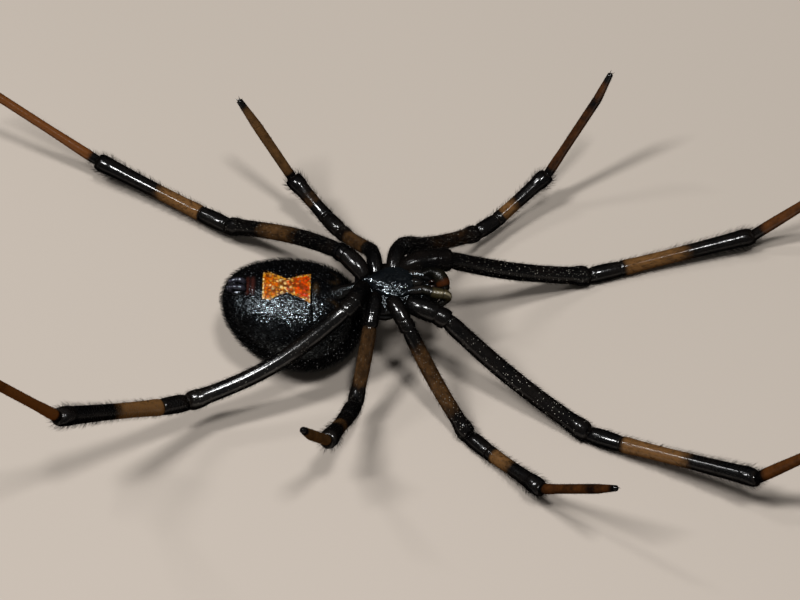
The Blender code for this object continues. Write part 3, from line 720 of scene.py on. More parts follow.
waist_finish = cuticle("soft_joint_skin", (0.0015, 0.0013, 0.0013), (0.005, 0.004, 0.0035), 9000.0, 0.00003)
rings = []
for x in np.linspace(-1.32, 2.0, 40):
    low = float(carapace_half_width(np.float64(x))) * 0.93
    low *= 1.0 - 0.45 * step_up((x - 1.5) / 0.6)
    high = max(0.1, float(sternum_half_width(min(max(x, -1.1), 1.1)))) * 0.93
    ring = []
    for t in np.linspace(0, 1, 9):
        ring.append((x, low * (1 - t) + high * t + 0.28 * math.sin(math.pi * t), -1.0 + 0.72 * t))
    rings.append(ring + [(p[0], -p[1], p[2]) for p in reversed(ring)])
side_grid = grid(in_body(rings), (0.0, 0.0, 0.7, 1.0))
waist = [(-0.9, 0, -0.6, 0.3), (-1.25, 0, -0.68, 0.28), (-1.5, 0, -0.78, 0.26)]
waist += [(-1.9, 0, -1.05, 0.3), (-2.5, 0, -1.55, 0.44)]
waist_grid = grid(in_body(tube_rings(smooth_path(waist, 6), 28)), (0.72, 0.0, 1.0, 1.0))
skin_piece("waist_skin", [side_grid, waist_grid], waist_finish, ["pedicel"])


# Mouthparts
# The lower lip and two maxillae lie in front of the breastplate. Behind them hang the stout
# chelicerae, black shell with one folded, red-brown fang each.
def in_box(place, many):
    """That one of many equal strips of the map."""
    return (0.0, place / many, 1.0, (place + 0.9) / many)


mouth_finish = cuticle("mouthpart_cuticle", (0.004, 0.0035, 0.0035), (0.018, 0.014, 0.011), 15000.0, 0.00001)
labium = [(1.05, 0.0, -0.2, 0.17), (1.3, 0.0, -0.18, 0.19), (1.5, 0.0, -0.2, 0.16), (1.6, 0.0, -0.24, 0.08)]
maxilla = [(1.0, 0.47, -0.24, 0.17), (1.3, 0.46, -0.18, 0.2), (1.6, 0.41, -0.16, 0.2)]
maxilla += [(1.85, 0.31, -0.2, 0.15), (1.98, 0.24, -0.24, 0.07)]
mouth_grids = [grid(in_body(tube_rings(smooth_path(labium, 8), 28)), in_box(0, 3))]
for i, way in enumerate((-1, 1)):
    path = smooth_path(maxilla, 8) * (1, way, 1, 1)
    mouth_grids.append(grid(in_body(tube_rings(path, 32, 0.9)), in_box(i + 1, 3)))
nodes = ["labium", "maxilla_left", "maxilla_right"]
skin_piece("mouth_skin", mouth_grids, mouth_finish, nodes)

fang_finish, tree, shader = new_finish("chelicera_cuticle")
add_gloss(tree, shader, 0.45)
grain = add_group(tree, cuticle_grain, Cells=16000.0, Cell_Depth=0.7, Wrinkle_Depth=0.5)
colour = mix_colours(tree, grain.outputs["Tone"], (0.004, 0.0035, 0.0035), (0.012, 0.008, 0.006))
colour = mix_colours(tree, skin_mark(tree, "fang"), colour, (0.01, 0.004, 0.003))
feed_all(tree, shader, Base_Color=colour, Roughness=grain.outputs["Roughness"])
add_relief(tree, shader, grain.outputs["Height"], 0.000008)
body = [(2.0, 0.25, -1.3, 0.2), (2.13, 0.28, -1.02, 0.25), (2.23, 0.28, -0.8, 0.26)]
body += [(2.27, 0.27, -0.6, 0.25), (2.25, 0.23, -0.45, 0.2), (2.18, 0.2, -0.35, 0.11)]
fang = [(2.22, 0.19, -0.48, 0.09), (2.17, 0.17, -0.3, 0.08), (2.05, 0.14, -0.25, 0.06)]
fang += [(1.93, 0.11, -0.29, 0.02)]
chelicera_grids = []
for i, way in enumerate((-1, 1)):
    for j, (path, sides) in enumerate(((body, 32), (fang, 18))):
        rings = in_body(tube_rings(smooth_path(path, 8) * (1, way, 1, 1), sides))
        chelicera_grids.append(grid(rings, in_box(2 * i + j, 4), {"fang": np.full(len(rings), float(j))}))
nodes = ["chelicera_left", "chelicera_right"]
skin_piece("chelicera_skin", chelicera_grids, fang_finish, nodes)


# Palps
# Short feelers beside the mouth, in thin brown cuticle that darkens to black at the joints and the
# tips. The left one curls back beside the jaws, and the right one lies folded across them.
def limb_finish(name, dark, warm, rust, pale, rough=0.08, relief=0.0000025):
    """Black cuticle with amber, rust and pale parts where the skin's own marks say so, pale bristle-socket
    specks painted in as glints, and on the left palp a pale stripe that is a painted highlight.
    """
    made, tree, shader = new_finish(name)
    gloss = times(tree, add_gloss(tree, shader, 0.4), skin_mark(tree, "shine"))
    grain = add_group(tree, cuticle_grain, Cell_Depth=0.5, Wrinkle_Depth=0.5, Sockets=10000.0)
    feed_all(tree, grain, Least_Roughness=rough)
    uneven = scaled(tree, noise(tree, 2600.0, 3.0, 0.6), 0.5, -0.25)
    colour = mix_colours(tree, grain.outputs["Tone"], dark[0], dark[1])
    for label, shade in (("warm", warm), ("rust", rust), ("pale", pale)):
        mark = skin_mark(tree, label)
        part = ramp(tree, math_node(tree, "ADD", mark, uneven), 0.2, 0.9)
        colour = mix_colours(tree, times(tree, part, ramp(tree, mark, 0.0, 0.15)), colour, shade)
    # Painted glints: pale specks where bristle sockets are.
    socket_glints = times(tree, grain.outputs["Socket"], skin_mark(tree, "glint_dotted"))
    colour = mix_colours(tree, socket_glints, colour, (0.5, 0.47, 0.4))
    feed_all(tree, shader, Base_Color=colour, Roughness=grain.outputs["Roughness"])
    feed_all(tree, shader, Specular_IOR_Level=gloss)
    add_relief(tree, shader, grain.outputs["Height"], relief)
    return made


def grooved(path, joints, deep, wide=0.035):
    """The path with its radius drawn in at these lengths along it, and how near each place is to one."""
    far = np.concatenate([[0.0], np.cumsum(np.linalg.norm(np.diff(path[:, :3], axis=0), axis=1))])
    near = sum(hump(far - joint, wide) for joint in joints)
    path = path.copy()
    path[:, 3] *= 1.0 - deep * near
    return path, far, near


palp_finish = limb_finish(
    "palp_cuticle",
    dark=((0.002, 0.0018, 0.0014), (0.006, 0.005, 0.003)),
    warm=(0.026, 0.02, 0.008),
    rust=(0.035, 0.01, 0.003),
    pale=(0.2, 0.17, 0.11),
    rough=0.16,
    relief=0.000012,
)
PALP_SIDES = 32
left_palp = [(1.62, 0.42, -0.12, 0.2), (1.95, 0.52, -0.15, 0.24), (2.3, 0.58, -0.19, 0.25)]
left_palp += [(2.56, 0.58, -0.225, 0.245), (2.7, 0.585, -0.27, 0.235), (2.79, 0.6, -0.37, 0.215)]
left_palp += [(2.8, 0.62, -0.5, 0.19), (2.73, 0.66, -0.61, 0.18), (2.57, 0.73, -0.73, 0.175)]
left_palp += [(2.37, 0.84, -0.86, 0.13), (2.27, 0.9, -0.94, 0.05)]
right_palp = [(1.62, 0.42, -0.12, 0.2), (1.9, 0.53, -0.1, 0.24), (2.16, 0.52, -0.12, 0.285)]
right_palp += [(2.4, 0.4, -0.19, 0.33), (2.55, 0.2, -0.3, 0.34), (2.63, 0.01, -0.4, 0.3)]
right_palp += [(2.68, -0.15, -0.5, 0.22), (2.7, -0.28, -0.57, 0.09)]
left_joints = (0.36, 0.98, 1.6)
right_joints = (0.33, 1.42)
palp_grids = []
for i, (way, path, joints) in enumerate(((-1, left_palp, left_joints), (1, right_palp, right_joints))):
    path, far, near = grooved(smooth_path(path, 14) * (1, way, 1, 1), joints, 0.08)
    rings = in_body(tube_rings(path, PALP_SIDES))
    tip_rings = len(rings) - len(far)
    far = np.concatenate([far, [far[-1]] * tip_rings])
    near = np.concatenate([near, np.zeros(tip_rings)])
    amber = step_up((far - 0.3) / 0.3) * step_up((1.55 - far) / 0.35) * (1.0 - 0.6 * near)
    turn = 2 * np.pi * np.arange(PALP_SIDES) / PALP_SIDES
    # The lit side of the left palp, where a pale stripe is painted as a highlight.
    highlight_streak = hump(np.mod(turn - 1.9, 2 * np.pi) - np.pi, 0.4)
    # The left palp is amber with a painted highlight, a pale stripe along its lit side; the right one is
    # rust-brown and dull but for one ring. Pale joints are its own colour.
    is_right = way > 0
    dulled = 0.85 if is_right else 0.0
    marks = {
        "warm": amber * (0.1 if is_right else 1.0),
        "rust": amber * (1.0 if is_right else 0.0) * step_up((far - 0.9) / 0.4),
        "pale": 0.15 * near[:, None] + (0.0 if is_right else 0.75) * amber[:, None] * highlight_streak[None, :],
        "shine": 1.0 - dulled * (1.0 - hump(far - 0.75, 0.12)),
    }
    palp_grids.append(grid(rings, in_box(i, 2), marks))
skin_piece("palp_skin", palp_grids, palp_finish, ["palp_left", "palp_right"])


# Eyes
# Eight small simple eyes in two rows across the front of the shield, each a clear, smooth lens
# over a dark cup. They are set in the shell with a thin raised rim.
eye_finish, tree, shader = new_finish("eye_lens", 0.04, coat=1.0, coat_rough=0.02)
depth = ramp(tree, noise(tree, 9000.0), 0.35, 0.65)
feed_all(tree, shader, Base_Color=mix_colours(tree, depth, (0.008, 0.006, 0.006), (0.035, 0.018, 0.01)))
EYE_SIDES = 28
RIM = ((-0.7, 1.1), (-0.1, 1.28), (0.12, 1.2), (0.2, 1.05), (0.1, 0.9))
rim_grids = []
eye_grids = []
for row, side, size in ((0.93, 0.13, 0.1), (0.9, 0.44, 0.09), (0.66, 0.17, 0.1), (0.68, 0.56, 0.09)):
    x = CARAPACE_FRONT - 0.02 - (1 - row) * 0.9
    turn = math.acos(min(0.95, side / max(0.2, abs(carapace_point(x, 0.0)[1]))))
    here = carapace_point(x, turn)
    out = np.cross(carapace_point(x + 0.01, turn) - here, carapace_point(x, turn + 0.01) - here)
    out = out / np.linalg.norm(out)
    if out[2] > 0:
        out = -out
    for way in (-1, 1):
        at = here * (1, way if here[1] > 0 else -way, 1)
        lean = np.array([out[0], abs(out[1]) * way, out[2]])
        rises = np.radians(np.linspace(-40, 84, 14))
        lens = [(*(at + lean * size * math.sin(rise)), size * math.cos(rise)) for rise in rises]
        rim = [(*(at + lean * size * high), size * wide) for high, wide in RIM]
        for path, grids in ((lens, eye_grids), (rim, rim_grids)):
            grids.append(grid(in_body(tube_rings(np.array(path), EYE_SIDES)), in_box(len(grids), 8)))
rows = [row + "_" + part for row in ("eye_anterior", "eye_posterior") for part in ("median", "lateral")]
nodes = [row + side for row in rows for side in ("_left", "_right")]
skin_piece("eye_lenses", eye_grids, eye_finish, nodes)
skin_piece("eye_rims", rim_grids, shield_finish, nodes)


# Legs
# Eight smooth, glossy legs, each one skin from hip to claw with a narrow soft groove at every
# joint. They are black with amber-brown bands, and their last two segments are rust-brown.
PAIRS = (1, 2, 3, 4)
LEG_SIDES = 28
# The seven segments of a leg from its hip to its tip, and the length of each, by pair.
COXA, TROCHANTER, FEMUR, PATELLA, TIBIA, METATARSUS, TARSUS = range(7)
LEG_LENGTHS = {
    1: (1.2, 0.6, 8.6, 1.65, 6.8, 8.2, 2.4),
    2: (1.0, 0.5, 5.95, 1.3, 3.45, 4.7, 1.6),
    3: (0.9, 0.5, 3.8, 1.2, 2.7, 3.25, 1.6),
    4: (1.1, 0.55, 8.45, 1.55, 6.1, 6.4, 1.9),
}
LEG_THICK = {1: 0.44, 2: 0.38, 3: 0.35, 4: 0.41}
SHIN_THICK = {1: 0.46, 2: 0.43, 3: 0.45, 4: 0.47}
COXA_THICK = {1: 0.5, 2: 0.4, 3: 0.36, 4: 0.46}
LEG_ROOTS = {1: (1.15, 1.12, -0.35), 2: (0.3, 1.05, -0.3), 3: (-0.55, 0.85, -0.35), 4: (-1.2, 0.55, -0.1)}
# Coxa heading and rise, femur heading and rise, lean of the leg's plane, then the bends after the femur.
POSES = {
    ("left", 1): (-17, -11, -29, -29, -4, 39, 5, 44, 4),
    ("left", 2): (-60, -17, -49, -43, -4, 50, 7, 38, 1),
    ("left", 3): (-99, -8, -106, -47, 4, 70, 11, 28, 3),
    ("left", 4): (-112, 14, -158, -22, -11, 51, 9, 31, 4),
    ("right", 1): (7, 10, 18, -31, 7, 34, 3, 39, 4),
    ("right", 2): (79, -11, 41, -35, 2, 31, 21, 35, 12),
    ("right", 3): (97, -10, 119, -37, -15, 32, 20, 39, -4),
    ("right", 4): (133, 1, 141, -31, -17, 30, 7, 23, 4),
}
RESTING = (("left", 1), ("left", 2), ("right", 1))
# Radius along each segment, as (part of its length, part of the leg's thickness).
femur_rear = ((0.0, 0.8), (0.03, 0.89), (0.15, 0.94), (0.45, 0.97))
femur_end = ((0.7, 0.95), (0.87, 0.98), (0.94, 1.02), (0.98, 0.99), (1.0, 0.9))
tibia_rear = ((0.0, 0.8), (0.03, 0.84), (0.12, 0.8), (0.25, 0.77))
tibia_end = ((0.5, 0.78), (0.75, 0.85), (0.92, 0.89), (0.98, 0.84), (1.0, 0.76))
PROFILES = {
    COXA: ((0.0, 0.74), (0.3, 0.93), (0.6, 1.0), (0.88, 0.98), (1.0, 0.94)),
    TROCHANTER: ((0.0, 0.9), (0.4, 0.95), (0.75, 0.97), (1.0, 0.9)),
    FEMUR: femur_rear + femur_end,
    PATELLA: ((0.0, 0.78), (0.1, 0.83), (0.25, 0.88), (0.55, 0.89), (0.85, 0.85), (1.0, 0.8)),
    TIBIA: tibia_rear + tibia_end,
    METATARSUS: ((0.0, 0.6), (0.05, 0.62), (0.4, 0.55), (0.95, 0.52), (1.0, 0.52)),
    TARSUS: ((0.0, 0.52), (0.35, 0.47), (0.75, 0.39), (0.93, 0.31), (1.0, 0.16)),
}
# Places along a segment near its joint, where the skin dips into the groove.
JOINT_STEPS = np.array([0.006, 0.03, 0.055, 0.08, 0.11, 0.14, 0.18, 0.23])
# Amber-brown bands, counted in segments from the hip, with how strong they are.
BANDS = {
    ("left", 1): ((4.03, 4.5, 1.0),),
    ("right", 1): ((4.03, 4.5, 0.85),),
    ("left", 2): ((2.12, 2.8, 0.5), (4.1, 4.45, 0.75)),
    ("right", 2): ((2.3, 2.9, 0.3), (4.1, 4.38, 0.8)),
    ("left", 3): ((1.98, 2.8, 0.48), (4.3, 4.6, 0.4)),
    ("right", 3): ((2.1, 2.8, 0.5), (4.3, 4.6, 0.4)),
    ("left", 4): ((4.0, 4.45, 1.0),),
    ("right", 4): ((2.4, 2.75, 0.5), (4.0, 4.4, 1.0)),
}
RUST = {1: 0.57, 2: 0.46, 3: 0.15, 4: 1.0}


def direction(heading, rise):
    """The direction with this heading from +X towards +Y and this rise, both in degrees."""
    flat = math.cos(math.radians(rise))
    heading = math.radians(heading)
    return Vector((flat * math.cos(heading), flat * math.sin(heading), math.sin(math.radians(rise))))


def leg_joints(side, pair):
    """The eight points of the leg's middle line from its root to its tip, and its hinge axis."""
    way = -1 if side == "left" else 1
    lengths = LEG_LENGTHS[pair]
    root = LEG_ROOTS[pair]
    heading, rise, femur_heading, femur_rise, lean, *bends = POSES[side, pair]
    start = Vector(in_body((root[0], root[1] * way, root[2])))
    coxa = Matrix(BODY.tolist()) @ direction(heading, rise)
    for _ in range(8):
        femur = direction(femur_heading, femur_rise)
        points = [start, start + coxa * lengths[0]]
        points.append(points[-1] + (coxa + femur).normalized() * lengths[1])
        if (side, pair) not in RESTING:
            break
        # This femur is turned down until its knee rests on the floor, pressed in by 0.03.
        drop = points[-1].z - LEG_THICK[pair] + 0.03
        femur_rise = -math.degrees(math.asin(drop / lengths[FEMUR]))
    hinge = Matrix.Rotation(math.radians(lean), 3, femur) @ femur.cross(Vector((0, 0, 1))).normalized()
    points.append(points[-1] + femur * lengths[FEMUR])
    angle = 0.0
    for bend, length in zip(bends, lengths[PATELLA:]):
        angle += bend
        points.append(points[-1] + Matrix.Rotation(math.radians(angle), 3, hinge) @ femur * length)
    return points, hinge


def eased(part, profile):
    """A smooth value at that part of the length through the profile's places."""
    at, size = np.array(profile).T
    slope = np.gradient(size, at)
    i = min(max(int(np.searchsorted(at, part)) - 1, 0), len(at) - 2)
    wide = at[i + 1] - at[i]
    t = (part - at[i]) / wide
    bend = (2 * t**3 - 3 * t**2 + 1) * size[i] + (3 * t**2 - 2 * t**3) * size[i + 1]
    return bend + wide * ((t**3 - 2 * t**2 + t) * slope[i] + (t**3 - t**2) * slope[i + 1])


def segment_steps(k, length):
    """Places along a segment, close together near its joints. The hip has no joint at its root."""
    joint = 0.28
    spacing = 0.12
    if k == COXA:
        near = JOINT_STEPS[:0]
        middle = np.linspace(0.0, length - joint, 12)
    else:
        near = JOINT_STEPS
        middle = np.linspace(joint, length - joint, max(3, round(length / spacing)))
    return np.concatenate([near, middle, length - JOINT_STEPS[::-1]])


def plain_radius(side, pair, k, at, length):
    """Radius at that length along the segment, before the dips at its joints."""
    part = at / length
    thick = (COXA_THICK if k < FEMUR else SHIN_THICK if k in (PATELLA, TIBIA) else LEG_THICK)[pair]
    least = 0.22 if k < TARSUS else 0.22 * (1.0 - 0.4 * part)
    radius = max(eased(part, PROFILES[k]) * thick, least * (0.45 if part > 0.97 and k == TARSUS else 1.0))
    # The roots of right legs 1 and 2 are a little thicker, so that no gap stays beside them.
    if (side, pair) == ("right", 1) and k < FEMUR:
        radius *= 1.14
    if (side, pair) == ("right", 2) and k == FEMUR:
        radius += 0.09 * step_up((1.9 - at) / 1.2)
    if pair == 3 and k > TIBIA:
        radius *= 1.1
    return radius


def joint_groove(k, at, length, under):
    """How deep a place is in the groove of a joint, all round it. The grooves are wider underneath."""
    groove = np.zeros((LEG_SIDES, 1))
    if k > COXA:
        groove += hump(at, 0.035 + (0.05 if k in (PATELLA, TIBIA, METATARSUS) else 0.01) * under)
    if k < TARSUS:
        groove += hump(length - at, 0.03 + (0.1 if k in (FEMUR, TIBIA) else 0.01) * under)
    return np.minimum(groove, 1.0)


def necked(radius, pair, k, at, length, under):
    """The radius with the swollen ends of femur and tibia, and the necks on both sides of the knee."""
    if k in (FEMUR, TIBIA):
        swelling = 0.03 if k == TIBIA or pair == 3 else 0.045
        radius = radius + swelling * step_up((0.85 - length + at) / 0.3)
        radius = radius * (1.0 - (0.05 + 0.1 * under) * max(0.0, 1.0 - (length - at) / 0.3) ** 2)
    if k in (PATELLA, METATARSUS):
        radius = radius * (1.0 - (0.02 + 0.08 * under) * max(0.0, 1.0 - at / 0.35) ** 2)
    return radius


def leg_rings(side, pair):
    """Rings down the whole leg, each ring's place in segments from the hip, and its joint groove."""
    joints, hinge = leg_joints(side, pair)
    buried = 0.7 if (side, pair) == ("right", 1) else 0.3
    joints[0] = joints[0] - (joints[1] - joints[0]).normalized() * buried
    way = -1 if side == "left" else 1
    inward = Vector((0.0, -0.1 * way, -0.2))
    axes = [(b - a).normalized() for a, b in zip(joints, joints[1:])]
    turn = 2 * np.pi * np.arange(LEG_SIDES)[:, None] / LEG_SIDES
    under = np.maximum(0.0, np.sin(turn)) ** 2
    rings = []
    places = []
    grooves = []
    for k, along in enumerate(axes):
        length = (joints[k + 1] - joints[k]).length
        across = (hinge - along * hinge.dot(along)).normalized()
        belly = across.cross(along).normalized()
        bow = 0.04 if k == FEMUR else 0.0
        aside = 0.047 * way if k == FEMUR and pair == 4 else 0.0
        ends = [(axes[max(joint - 1, 0)] + axes[min(joint, TARSUS)]).normalized() for joint in (k, k + 1)]
        for at in segment_steps(k, length):
            part = at / length
            groove = joint_groove(k, at, length, under)
            deep = 0.04 + 0.05 * under * (k in (FEMUR, PATELLA, TIBIA, METATARSUS))
            radius = plain_radius(side, pair, k, at, length) * (1.0 - deep * groove)
            radius = necked(radius, pair, k, at, length, under)
            bend = (across * aside - belly * bow) * (length * math.sin(math.pi * part))
            middle = joints[k] + along * at + bend
            if k == COXA:
                middle = middle + inward * max(0.0, 1.0 - 1.6 * part) ** 2
            out = (np.array(across) * np.cos(turn) + np.array(belly) * np.sin(turn)) * radius
            # At a joint the rings lean into the plane halfway between the two segments.
            shift = np.zeros(LEG_SIDES)
            for plane, far in ((ends[0], at), (ends[1], length - at)):
                fade = max(0.0, 1.0 - far / (2.0 * float(radius.max())))
                shift -= out @ np.array(plane) / plane.dot(along) * fade
            rings.append(np.array(middle) + out + np.array(along) * shift[:, None])
            places.append(k + part)
            grooves.append(groove[:, 0])
    return np.array(rings), np.array(places), np.array(grooves)


def leg_marks(side, pair, places, grooves):
    """The pigments, the painted glint specks and the sheen of the leg, by the place in segments from the
    hip.
    """
    warm = np.zeros(len(places))
    for low, high, strength in BANDS[side, pair]:
        rise = step_up((places - low) / (0.24 if low < PATELLA else 0.1) + 0.5)
        warm = np.maximum(warm, strength * rise * step_up((high - places) / 0.26 + 0.5))
    beyond_tibia = step_up((places - 5.02) / 0.1)
    dark_joint = step_up((places - 5.8) / 0.15) * step_up((6.15 - places) / 0.15)
    rust = beyond_tibia * (1.0 - 0.3 * dark_joint)
    rust *= RUST[pair] * (1.0 - 0.7 * step_up((places - 6.55) / 0.4))
    if pair == 3:
        warm = np.maximum(warm, 0.58 * beyond_tibia * step_up((6.9 - places) / 0.3))
    shine = 1.0 - (0.8 if (side, pair) == ("right", 1) else 0.0) * step_up((2.3 - places) / 0.4)
    if side == "right" or pair in (2, 3):
        shine = np.minimum(shine, 1.0 - 0.8 * np.minimum(1.0, warm * 1.5))
    if (side, pair) == ("left", 4):
        shine = 1.0 + 1.2 * hump(places - 2.5, 0.5)
    # Painted glints: pale bristle-socket specks, strongest on the femora and most on the first two pairs.
    glint_spots = 0.04 + (1.0 if pair < 3 else 0.4) * hump(places - 2.55, 0.42)
    glint_spots = glint_spots * step_up((5.0 - places) / 0.3)
    soft = grooves * ((places > 2.5) & (places < 5.5))[:, None]
    return {
        "warm": warm[:, None] * (1.0 - 0.8 * soft),
        "rust": rust,
        "pale": 0.4 * soft,
        "place": places,
        "glint_dotted": glint_spots * (1.0 - warm),
        "shine": shine,
    }


def leg_nodes(side, parts):
    """The nodes of these parts of the four legs on that side."""
    return ["leg_" + side + "_" + str(pair) + "_" + part for pair in PAIRS for part in parts]


leg_finish = limb_finish(
    "leg_cuticle",
    dark=((0.0013, 0.0012, 0.0013), (0.004, 0.003, 0.0025)),
    warm=(0.11, 0.053, 0.018),
    rust=(0.1, 0.034, 0.008),
    pale=(0.03, 0.022, 0.017),
)
leg_grids = {}
for i, (side, pair) in enumerate(POSES):
    rings, places, grooves = leg_rings(side, pair)
    rings[:, :, 2] = np.maximum(rings[:, :, 2], 0.0)
    leg_grids[side, pair] = grid(rings, in_box(i, len(POSES)), leg_marks(side, pair, places, grooves))
for side in ("left", "right"):
    grids = [leg_grids[side, pair] for pair in PAIRS]
    nodes = leg_nodes(side, ("coxa", "femur", "tibia", "tarsus"))
    skin_piece("leg_skin_" + side, grids, leg_finish, nodes)


# Claws
# Three small, curved black claws at the end of every leg, the middle one shorter. They are hard
# cuticle, grow from the tip of the last segment and grip silk.
claw_grids = []
for key in POSES:
    rings = leg_grids[key]["rings"]
    tip = rings[-1].mean(axis=0)
    along = tip - rings[-8].mean(axis=0)
    along = along / np.linalg.norm(along)
    across = rings[-8][0] - rings[-8].mean(axis=0)
    across = across / np.linalg.norm(across)
    belly = np.cross(across, along)
    for aside, long in ((-0.05, 0.17), (0.05, 0.17), (0.0, 0.11)):
        path = []
        for t in np.linspace(0.0, 1.0, 7):
            bend = -0.09 * t * t if aside else -0.05 * t * t
            middle = tip + across * aside * (1 + t) + along * (long * t - 0.03) + belly * bend
            path.append((*middle, 0.028 * (1 - 0.85 * t)))
        claw_grids.append(grid(tube_rings(np.array(path), 10), in_box(len(claw_grids), 24)))
claw_nodes = ["leg_" + side + "_" + str(pair) + "_tarsus" for side, pair in POSES]
skin_piece("claws", claw_grids, shield_finish, claw_nodes)


# Bristles
# Fine, stiff, tapering hairs over the skin, each leaning towards the tip of the limb or the rear
# of the body. They have the colour of the skin that they grow from.
SPIKE_POINTS = 7
FLOOR_GAP = 0.004


def hair_roots(skin, count, weight=None):
    """Random places on a skin, evenly by area times weight, with the directions of the skin there."""
    rings = skin["rings"]
    across = np.roll(rings, -1, axis=1) - rings
    along = np.diff(rings, axis=0)
    normal = np.cross(across[:-1], along) * volume_sign(rings)
    area = np.linalg.norm(normal, axis=2)
    if weight is not None:
        area = area * weight
    order = np.cumsum(area.ravel())
    pick = np.searchsorted(order, random.random(count) * order[-1])
    i, j = np.unravel_index(np.minimum(pick, area.size - 1), area.shape)
    k = (j + 1) % rings.shape[1]
    s = random.random((count, 1))
    t = random.random((count, 1))
    here = rings[i, j] * (1 - t) + rings[i, k] * t
    ahead = rings[i + 1, j] * (1 - t) + rings[i + 1, k] * t
    at = here * (1 - s) + ahead * s
    normal = normal[i, j] / np.maximum(np.linalg.norm(normal[i, j], axis=1, keepdims=True), 1e-9)
    flow = along[i, j] / np.maximum(np.linalg.norm(along[i, j], axis=1, keepdims=True), 1e-9)
    u = skin["along"][i] * (1 - s[:, 0]) + skin["along"][i + 1] * s[:, 0]
    v = skin["around"][j] * (1 - t[:, 0]) + skin["around"][j + 1] * t[:, 0]
    marks = {}
    for key, value in skin["marks"].items():
        value = np.asarray(value, float)
        marks[key] = value[i, j] if value.ndim == 2 else value[i]
    return {"at": at, "normal": normal, "flow": flow, "map": np.stack([u, v], 1), "marks": marks}


def bristles(name, tufts, finish, nodes):
    """One mesh of bristles. A tuft is roots with their lengths, radii, leans in degrees and a sweep."""
    points = []
    maps = []
    marks = {key: [] for key in tufts[0]["marks"]}
    for tuft in tufts:
        count = len(tuft["at"])
        lean = np.radians(tuft["lean"])[:, None]
        flow = tuft["flow"] * tuft.get("sweep", 1.0) + random.normal(0.0, 0.18, (count, 3))
        flow -= tuft["normal"] * (flow * tuft["normal"]).sum(axis=1, keepdims=True)
        flow /= np.maximum(np.linalg.norm(flow, axis=1, keepdims=True), 1e-9)
        grow = tuft["normal"] * np.cos(lean) + flow * np.sin(lean)
        side = np.cross(grow, tuft["normal"])
        side /= np.maximum(np.linalg.norm(side, axis=1, keepdims=True), 1e-9)
        other = np.cross(side, grow)
        long = tuft["long"][:, None]
        thick = tuft["thick"][:, None]
        # Each bristle has three points in its root, three halfway and one at its tip.
        spike = np.zeros((count, SPIKE_POINTS, 3))
        for j in range(3):
            turn = 2 * np.pi * j / 3
            out = (side * math.cos(turn) + other * math.sin(turn)) * thick
            spike[:, j] = tuft["at"] - tuft["normal"] * thick + out
            spike[:, 3 + j] = tuft["at"] + grow * long * 0.5 + out * 0.62
        spike[:, 6] = tuft["at"] + grow * long * 0.95 + flow * long * 0.16
        spike[:, :, 2] = np.maximum(spike[:, :, 2], FLOOR_GAP)
        points.append(spike.reshape(-1, 3))
        patch = np.array([(0, 0), (1, 0), (0.5, 0), (0, 0.6), (1, 0.6), (0.5, 0.6), (0.5, 1)]) * 0.003
        maps.append((tuft["map"][:, None, :] + patch[None]).reshape(-1, 2))
        for key in marks:
            marks[key].append(np.repeat(tuft["marks"][key], SPIKE_POINTS))
    points = np.concatenate(points)
    maps = np.concatenate(maps)
    first = np.arange(len(points) // SPIKE_POINTS)[:, None, None] * SPIKE_POINTS
    quads = (first + np.array([[0, 1, 4, 3], [1, 2, 5, 4], [2, 0, 3, 5]])).reshape(-1, 4)
    ends = (first + np.array([[3, 4, 6], [4, 5, 6], [5, 3, 6], [2, 1, 0]])).reshape(-1, 3)
    corners = np.concatenate([maps[quads.ravel()], maps[ends.ravel()]])
    values = {key: np.concatenate(parts) for key, parts in marks.items()}
    return finished(name, points, [quads, ends], corners, values, finish, nodes)


def with_size(roots, long, thick, lean, **more):
    """Roots with lengths that vary by a third, radii by a sixth and leans by 12 degrees."""
    count = len(roots["at"])
    vary = random.uniform(0.67, 1.33, count)
    roots["long"] = np.broadcast_to(long, count) * vary
    roots["thick"] = np.broadcast_to(thick, count) * (0.5 + 0.5 * vary)
    roots["lean"] = np.clip(np.broadcast_to(lean, count) + random.uniform(-12, 12, count), 5, 80)
    roots.update(more)
    return roots


leg_hair_finish, tree, shader = new_finish("leg_bristle", 0.35, specular=0.1)
colour = (0.0015, 0.0013, 0.0012)
for label, shade in (("warm", (0.02, 0.01, 0.004)), ("rust", (0.012, 0.006, 0.002))):
    colour = mix_colours(tree, skin_mark(tree, label), colour, shade)
feed_all(tree, shader, Base_Color=colour)
for side in ("left", "right"):
    tufts = []
    for pair in PAIRS:
        skin = leg_grids[side, pair]
        places = skin["marks"]["place"][:-1]
        dense = np.interp(places, (0, 0.9, 2, 3, 4, 5, 5.1, 7), (0.7, 0.9, 1.0, 1.0, 0.8, 1.1, 0.5, 0.9))
        roots = hair_roots(skin, round(200 * sum(LEG_LENGTHS[pair])), dense[:, None])
        place = roots["marks"]["place"]
        long = np.interp(place, (0, 2, 3, 4, 5, 5.1, 7), (0.14, 0.16, 0.18, 0.22, 0.32, 0.1, 0.08))
        thick = np.interp(place, (0, 3, 4, 5, 5.1, 7), (0.005, 0.005, 0.006, 0.0065, 0.004, 0.004))
        lean = np.interp(place, (0, 3, 4, 5, 5.1, 7), (50, 50, 46, 42, 60, 64))
        tufts.append(with_size(roots, long, thick, lean))
    nodes = leg_nodes(side, ("femur", "tibia", "tarsus"))
    bristles("leg_hair_" + side, tufts, leg_hair_finish, nodes)

body_hair_finish, tree, shader = new_finish("body_bristle", 0.3, specular=0.12)
mark = add_group(tree, hourglass)
colour = mix_colours(tree, mark.outputs["Stain"], (0.002, 0.002, 0.002), (0.04, 0.009, 0.005))
colour = mix_colours(tree, mark.outputs["Mask"], colour, mark.outputs["Colour"])
feed_all(tree, shader, Base_Color=colour)
